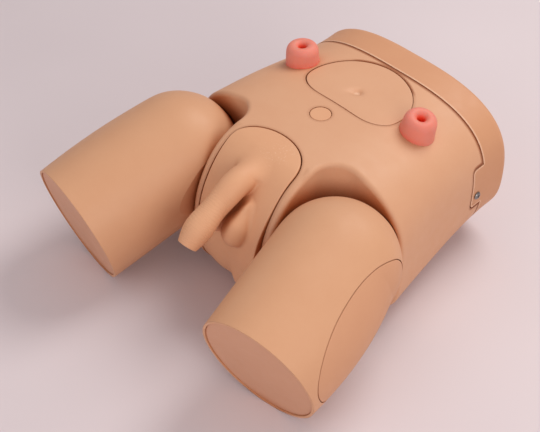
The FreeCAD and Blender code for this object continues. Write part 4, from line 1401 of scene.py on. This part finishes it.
    def build(self, finishes: Finishes) -> None:
        """Make the insert's piece in place of its CAD node.

        Args:
            finishes: The built materials.
        """
        shell = Shell()
        self.mound(shell)
        self.scrotum(shell)
        self.penis(shell)
        self.inner_nipple(shell)
        piece = shell.piece("insert_skin")
        finishes.dress(piece, Finish.SOFT_SKIN)
        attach(piece, "torso")
        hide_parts("male_insert")
        LOG.info("insert skin: %d faces", len(piece.data.polygons))


@dataclass
class Inlay:
    """A loose plate let into the belly, with a rounded rim and, if wanted, a navel.

    The shift moves the outline so that it stands evenly in its seat. Every back_step-th ring of the
    top is repeated on the plate's underside. The navel's width is given on its steep side, with what
    is added on its long one, and navel_turn holds the places between which the one turns into the
    other.
    """

    name: str
    node: str
    finish: Finish
    slot: str
    corners: tuple[Pair, ...]
    shift: Pair = (0.0, 0.0)
    rim_radius: float = 1.1
    thickness: float = 4.6
    back_step: int = 9
    navel: Pair | None = None
    navel_dip: float = 4.1
    navel_length: float = 5.8
    navel_width: Pair = (5.6, 5.9)
    navel_turn: Pair = (-3.0, 6.0)
    body: str = "torso"
    columns: int = 220
    rings: int = 110
    rim_steps: Row = (0.0, 0.1, 0.28, 0.55, 0.9, 1.3, 2.0)

    def surface(self, first: Array, second: Array) -> Array:
        """Height of what carries the plate at places of its plan: the belly's height."""
        return TORSO.belly_height(first, second)

    def place(self, first: Array, second: Array, height: Array) -> Array:
        """Join plan and height into points: across, along and up."""
        return np.stack([first, second, height], axis=-1)

    def navel_depth(self, x: Array, y: Array) -> Array:
        """Depth of the navel: a bell curve in two directions across each other.

        It is steep towards the left and the head, and long towards the right and the feet.

        Args:
            x: Places across the model.
            y: Places along it.

        Returns:
            The depth at each place.
        """
        if self.navel is None:
            return np.zeros_like(x)
        headward = ((x - self.navel[0]) + (y - self.navel[1])) * math.sqrt(0.5)
        footward = ((x - self.navel[0]) - (y - self.navel[1])) * math.sqrt(0.5)
        width = self.navel_width[0] + self.navel_width[1] * soft_step(-headward, *self.navel_turn)
        return self.navel_dip * np.exp(-((headward / width) ** 2) - (footward / self.navel_length) ** 2)

    def build(self, finishes: Finishes) -> None:
        """Make the plate: rings drawn in from the outline, at the height of what carries it.

        Args:
            finishes: The built materials.
        """
        outline = closed_spline(np.array(self.corners), self.columns) + self.shift
        run = unit(np.roll(outline, -1, axis=0) - np.roll(outline, 1, axis=0))
        inward = np.c_[-run[:, 1], run[:, 0]]
        inward *= np.sign(((outline.mean(axis=0) - outline) * inward).sum(axis=1))[:, None]
        inset = np.array(self.rim_steps)
        rim = outline + inward * inset[:, None, None]
        middle = outline.mean(axis=0)
        share = np.linspace(1, 0.015, self.rings)[1:, None, None]
        plan = np.vstack([rim, middle + (rim[-1] - middle) * share])
        first, second = plan[..., 0], plan[..., 1]
        height = self.surface(first.ravel(), second.ravel()).reshape(first.shape)
        fall = np.zeros(len(plan))
        fall[: len(inset)] = rim_drop(inset, self.rim_radius)
        top = height - fall[:, None] - self.navel_depth(first, second)
        rows = np.r_[0, np.arange(len(inset), len(plan), self.back_step)][::-1]
        back = self.place(first[rows], second[rows], height[rows] - self.thickness)
        grid = np.vstack([back, self.place(first, second, top)])
        shell = Shell()
        numbers = shell.points(grid)
        shell.skin(numbers, wrap=True)
        shell.fan(numbers[0], grid[0].mean(axis=0))
        shell.fan(numbers[-1], grid[-1].mean(axis=0))
        piece = shell.piece(self.name)
        finishes.dress(piece, self.finish)
        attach(piece, self.body)
        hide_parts(self.node)
        LOG.info("%s: %d faces", self.name, len(piece.data.polygons))


@dataclass(frozen=True)
class ThighForm:
    """The left thigh: a ball at the hip and ovals along a line to the end, swelling halfway.

    The end's half axes are sideways and upwards, and its turn holds yaw and pitch.
    """

    hip: Row = (138.0, -17.0, 130.0)
    end: Row = (163.6, -166.0, 82.2)
    head_radius: float = 79.0
    end_half: Pair = (77.5, 85.0)
    end_turn: Pair = (math.radians(8.2), math.radians(15.0))
    bulge_out: float = 10.0
    bulge_up: float = 1.0
    rounds: int = 5

    def frame(self, share: Array) -> tuple[Array, Array, Array]:
        """Directions of the thigh's sections, by turning yaw and pitch evenly along the line.

        Args:
            share: Shares of the length.

        Returns:
            Heading, sideways and upward directions at the shares.
        """
        run = np.array(self.end) - np.array(self.hip)
        yaw = math.atan2(run[0], -run[1])
        pitch = math.asin(-run[2] / np.linalg.norm(run))
        yaw = yaw + (self.end_turn[0] - yaw) * share
        pitch = pitch + (self.end_turn[1] - pitch) * share
        level = np.cos(pitch)
        heading = np.stack([np.sin(yaw) * level, -np.cos(yaw) * level, -np.sin(pitch)], axis=-1)
        sideways = np.stack([np.cos(yaw), np.sin(yaw), np.zeros_like(yaw)], axis=-1)
        return heading, sideways, np.cross(heading, sideways)

    def field(self, points: Array) -> Array:
        """Distance outside the hip's ball, or past it outside the oval: radius less the oval's.

        The share of the length is found by Newton steps until the point lies in its own section, and
        the angle a by repeating tan a = (upward / tall) / (sideways / (across + bulge at a)).

        Args:
            points: Points in millimetres, shape (n, 3).

        Returns:
            The distance of each point, negative inside.
        """
        hip, end = np.array(self.hip), np.array(self.end)
        run = end - hip
        share = (points - hip) @ run / (run @ run)
        for _ in range(self.rounds):
            heading = self.frame(share)[0]
            away = points - hip - share[:, None] * run
            share = np.clip(share + (away * heading).sum(axis=1) / (heading @ run), 0.0, 1.0)
        ball = np.linalg.norm(points - hip, axis=1) - self.head_radius
        heading, sideways, upward = self.frame(share)
        away = points - hip - share[:, None] * run
        out, up = (away * sideways).sum(axis=1), (away * upward).sum(axis=1)
        swell = 4 * share * (1 - share)
        across = self.head_radius + (self.end_half[0] - self.head_radius) * share
        tall = self.head_radius + (self.end_half[1] - self.head_radius) * share + self.bulge_up * swell
        angle = np.arctan2(up / tall, out / across)
        for _ in range(self.rounds):
            wide = across + self.bulge_out * np.maximum(np.cos(angle), 0) ** 2 * swell
            angle = np.arctan2(up / tall, out / wide)
        oval = np.hypot(out, up) - np.hypot(wide * np.cos(angle), tall * np.sin(angle))
        return np.where(share <= 0, ball, oval)


THIGH = ThighForm()


def pad_outline(
    centre: Pair = (-58.0, 113.0), half: Pair = (92.0, 54.0), fullness: float = 2.2, count: int = 24
) -> tuple[Pair, ...]:
    """Corners of a superellipse along the thigh's slope.

    Args:
        centre: Its centre, along the body's length and height.
        half: Its half axes, along the slope and across it.
        fullness: Its exponent, 2 for an ellipse.
        count: Number of corners.

    Returns:
        The corners, as places along the body's length and height.
    """
    slope = math.atan2(THIGH.hip[2] - THIGH.end[2], THIGH.hip[1] - THIGH.end[1])
    turn = full_turn(count)
    c, s = np.abs(np.cos(turn)) / half[0], np.abs(np.sin(turn)) / half[1]
    radius = (c**fullness + s**fullness) ** (-1.0 / fullness)
    along, upward = radius * np.cos(turn), radius * np.sin(turn)
    y = centre[0] - along * math.cos(slope) - upward * math.sin(slope)
    z = centre[1] - along * math.sin(slope) + upward * math.cos(slope)
    return tuple(zip(y.tolist(), z.tolist()))


@dataclass
class InjectionPad(Inlay):
    """The soft pad in a thigh's outer side: an inlay whose plan is length and height."""

    side: int = 1
    start_x: float = 225.0

    def surface(self, first: Array, second: Array) -> Array:
        """How far out the thigh's side lies, found by Newton steps sideways.

        Args:
            first: Places along the body's length.
            second: Heights.

        Returns:
            The reach sideways at each place.
        """
        start = np.stack([np.full_like(first, self.start_x), first, second], axis=-1)
        out = np.tile([1.0, 0.0, 0.0], (len(start), 1))
        return slide(start, out, THIGH.field, 14)[:, 0]

    def place(self, first: Array, second: Array, height: Array) -> Array:
        """Join plan and reach into points: the reach goes out to the pad's own side."""
        return np.stack([self.side * height, first, second], axis=-1)


@dataclass
class StomaSpout:
    """A stoma: a soft spout on the belly, leaning outwards, with funnel, lumen, neck and hose nipple.

    Leans are the left and the right one's angles in degrees, about a level line at pivot_z. Profiles
    hold radius and height, and the foot holds radius and height above the belly.
    """

    side: int
    x: float = 100.0
    y: float = 166.0
    leans: Pair = (10.0, 3.5)
    pivot_z: float = 215.0
    foot_z: float = 201.0
    columns: int = 112
    profile_steps: int = 60
    neck: tuple[Pair, ...] = (
        (13.0, 199.0),
        (13.0, 176.0),
        (8.0, 176.0),
        (8.0, 161.0),
        (4.6, 161.0),
        (4.6, 208.0),
    )
    spout: tuple[Pair, ...] = (
        (4.6, 217.0),
        (4.8, 220.5),
        (5.4, 223.4),
        (6.7, 225.8),
        (8.8, 227.6),
        (11.3, 228.4),
        (13.6, 228.3),
        (15.9, 227.5),
        (17.9, 226.0),
        (19.5, 223.9),
        (20.6, 221.0),
        (21.1, 217.6),
        (21.4, 213.5),
        (21.7, 209.0),
    )
    foot: tuple[Pair, ...] = ((21.9, 2.4), (22.0, 0.9), (22.2, 0.2), (22.1, -0.4))

    def build(self, finishes: Finishes) -> None:
        """Make the spout: a profile turned about its axis, its foot following the belly.

        Args:
            finishes: The built materials.
        """
        angle = full_turn(self.columns)
        tilt = math.radians(self.leans[self.side < 0]) * self.side
        across, along = np.cos(angle), np.sin(angle)
        profile = self.smooth_profile()
        radii, heights = profile[:, :1], np.repeat(profile[:, 1:], len(angle), axis=1)
        upper = self.leaning(radii * across, radii * along, heights, tilt)
        lower = []
        for radius, offset in self.foot:
            x = self.side * self.x + radius * across + (self.foot_z - self.pivot_z) * math.sin(tilt)
            y = self.y + radius * along
            lower.append(np.c_[x, y, TORSO.belly_height(x, y) + offset])
        inner = []
        for radius, height in self.neck:
            x, y = self.side * self.x + radius * across, self.y + radius * along
            inner.append(np.c_[x, y, np.full(len(angle), height)])
        shell = Shell()
        numbers = shell.points(np.vstack([upper, np.stack(lower), np.stack(inner)]))
        shell.skin(np.vstack([numbers, numbers[:1]]), wrap=True)
        name = "left" if self.side > 0 else "right"
        piece = shell.piece(f"stoma_spout_{name}")
        finishes.dress(piece, Finish.STOMA_SKIN)
        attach(piece, "torso")
        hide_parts(f"stoma_{name}")
        LOG.info("stoma spout %s: %d faces", name, len(piece.data.polygons))

    def smooth_profile(self) -> Array:
        """Refine the spout's profile by a spline along its length.

        Returns:
            Radius and height of each point, shape (profile_steps, 2).
        """
        corners = np.array(self.spout)
        reach = length_along(corners)
        return spline(reach, corners, np.linspace(0, reach[-1], self.profile_steps))

    def leaning(self, x: Array, y: Array, z: Array, tilt: float) -> Array:
        """Turn points of the upright spout about a level line through its pivot.

        Args:
            x: Places across, from the spout's axis.
            y: Places along, from the axis.
            z: Heights above the table.
            tilt: The lean in radians.

        Returns:
            The turned points in the model, shape (rows, columns, 3).
        """
        rise = z - self.pivot_z
        lean_x = x * math.cos(tilt) + rise * math.sin(tilt)
        lean_z = rise * math.cos(tilt) - x * math.sin(tilt)
        return np.stack([self.side * self.x + lean_x, self.y + y, self.pivot_z + lean_z], axis=-1)


@dataclass
class Studio:
    """Camera, floor and lamps."""

    azimuth: float = 45.27
    elevation: float = 43.43
    roll: float = 0.84
    distance: float = 1.53272
    focal_px: float = 1255.43
    frame_px: float = 540.0
    sensor_mm: float = 36.0
    target: Row = (0.02326, -0.05611, 0.12433)
    floor_light: Colour = (0.765, 0.665, 0.68)
    floor_dark: Colour = (0.735, 0.635, 0.65)
    floor_reach: float = 6.0
    room_colour: Colour = (0.93, 0.9, 0.92)
    room_strength: float = 0.45

    def build(self) -> None:
        """Make the camera, the floor, the lamps and the room's light."""
        self.camera()
        self.floor()
        self.lamps()
        self.world()

    def camera(self) -> None:
        """Stand the camera where the photograph was taken, turned about its own axis by the roll."""
        side, up = math.radians(self.azimuth), math.radians(self.elevation)
        back = Vector((math.sin(side) * math.cos(up), -math.cos(side) * math.cos(up), math.sin(up)))
        level = Vector((math.cos(side), math.sin(side), 0))
        rise = back.cross(level)
        c, s = math.cos(math.radians(self.roll)), math.sin(math.radians(self.roll))
        right, above = level * c + rise * s, rise * c - level * s
        data = bpy.data.cameras.new("studio_camera")
        data.sensor_width = self.sensor_mm
        data.lens = self.focal_px / self.frame_px * self.sensor_mm
        data.clip_start, data.clip_end = 0.05, 50.0
        camera = bpy.data.objects.new("studio_camera", data)
        place = Vector(self.target) + back * self.distance
        turn = Matrix((right, above, back)).transposed().to_4x4()
        camera.matrix_world = Matrix.Translation(place) @ turn
        bpy.context.scene.collection.objects.link(camera)
        bpy.context.scene.camera = camera

    def floor(self) -> None:
        """Lay a wide pale table under the model."""
        mesh = bpy.data.meshes.new("studio_floor")
        reach = self.floor_reach
        corners = [(-reach, -reach, 0), (reach, -reach, 0), (reach, reach, 0), (-reach, reach, 0)]
        mesh.from_pydata(corners, [], [(0, 1, 2, 3)])
        floor = bpy.data.objects.new("studio_floor", mesh)
        bpy.context.scene.collection.objects.link(floor)
        graph = Graph("studio_floor")
        share = graph.remap(graph.noise(2.0, 2.0), 0.35, 0.65, 0.0, 1.0)
        graph.link(graph.tint(share, self.floor_light, self.floor_dark), graph.shader.inputs["Base Color"])
        graph.shader.inputs["Roughness"].default_value = 0.7
        graph.shader.inputs["Specular IOR Level"].default_value = 0.2
        mesh.materials.append(graph.material)

    def lamps(self) -> None:
        """Hang a wide soft lamp overhead, a weaker one at the side and a low one in front."""
        for name, place, size, power, colour in (
            ("overhead_lamp", (0.1, 1.0, 1.6), 1.1, 17.0, (1.0, 0.98, 0.95)),
            ("side_lamp", (1.6, -0.6, 1.0), 1.2, 11.5, (1.0, 0.97, 0.94)),
            ("front_lamp", (-0.1, -1.8, 0.8), 1.3, 6.5, (0.98, 0.97, 0.98)),
        ):
            data = bpy.data.lights.new(name, "AREA")
            data.shape = "DISK"
            data.size = size
            data.energy = power
            data.color = colour
            lamp = bpy.data.objects.new(name, data)
            lamp.location = place
            aim = Vector(self.target) - Vector(place)
            lamp.rotation_euler = aim.to_track_quat("-Z", "Y").to_euler()
            bpy.context.scene.collection.objects.link(lamp)

    def world(self) -> None:
        """Fill the room with even pale light."""
        world = bpy.data.worlds.new("studio_room")
        world.use_nodes = True
        ground = world.node_tree.nodes["Background"]
        ground.inputs["Color"].default_value = (*self.room_colour, 1.0)
        ground.inputs["Strength"].default_value = self.room_strength
        bpy.context.scene.world = world
        bpy.context.scene.view_settings.view_transform = "Standard"


def main() -> None:
    """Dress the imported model, add the finer pieces and light the studio."""
    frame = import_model()
    finishes = Finishes()
    for name, finish in NODE_FINISH.items():
        finishes.dress(frame["nodes"][name], finish)
    LOG.info("dressed %d nodes", len(NODE_FINISH))
    InsertSkin().build(finishes)
    Inlay(
        "belly_plate",
        "abdomen_plate",
        Finish.PLATE_SKIN,
        "skin",
        mirrored(PLATE_OUTLINE),
        shift=(0.34, 0.4),
        navel=(0.4, 164.5),
    ).build(finishes)
    Inlay(
        "puncture_pad",
        "suprapubic_pad",
        Finish.SOFT_SKIN,
        "soft_skin",
        circle(0.0, PUNCTURE_Y, PUNCTURE_RADIUS),
        rings=30,
    ).build(finishes)
    for side, name in ((1, "left"), (-1, "right")):
        InjectionPad(
            f"thigh_pad_{name}",
            f"injection_pad_{name}",
            Finish.PAD_SKIN,
            "soft_skin",
            pad_outline(),
            rim_radius=0.9,
            body=f"thigh_{name}",
            side=side,
        ).build(finishes)
        StomaSpout(side).build(finishes)
    Studio().build()


if __name__ == "__main__":
    logging.basicConfig(level=logging.INFO)
    main()
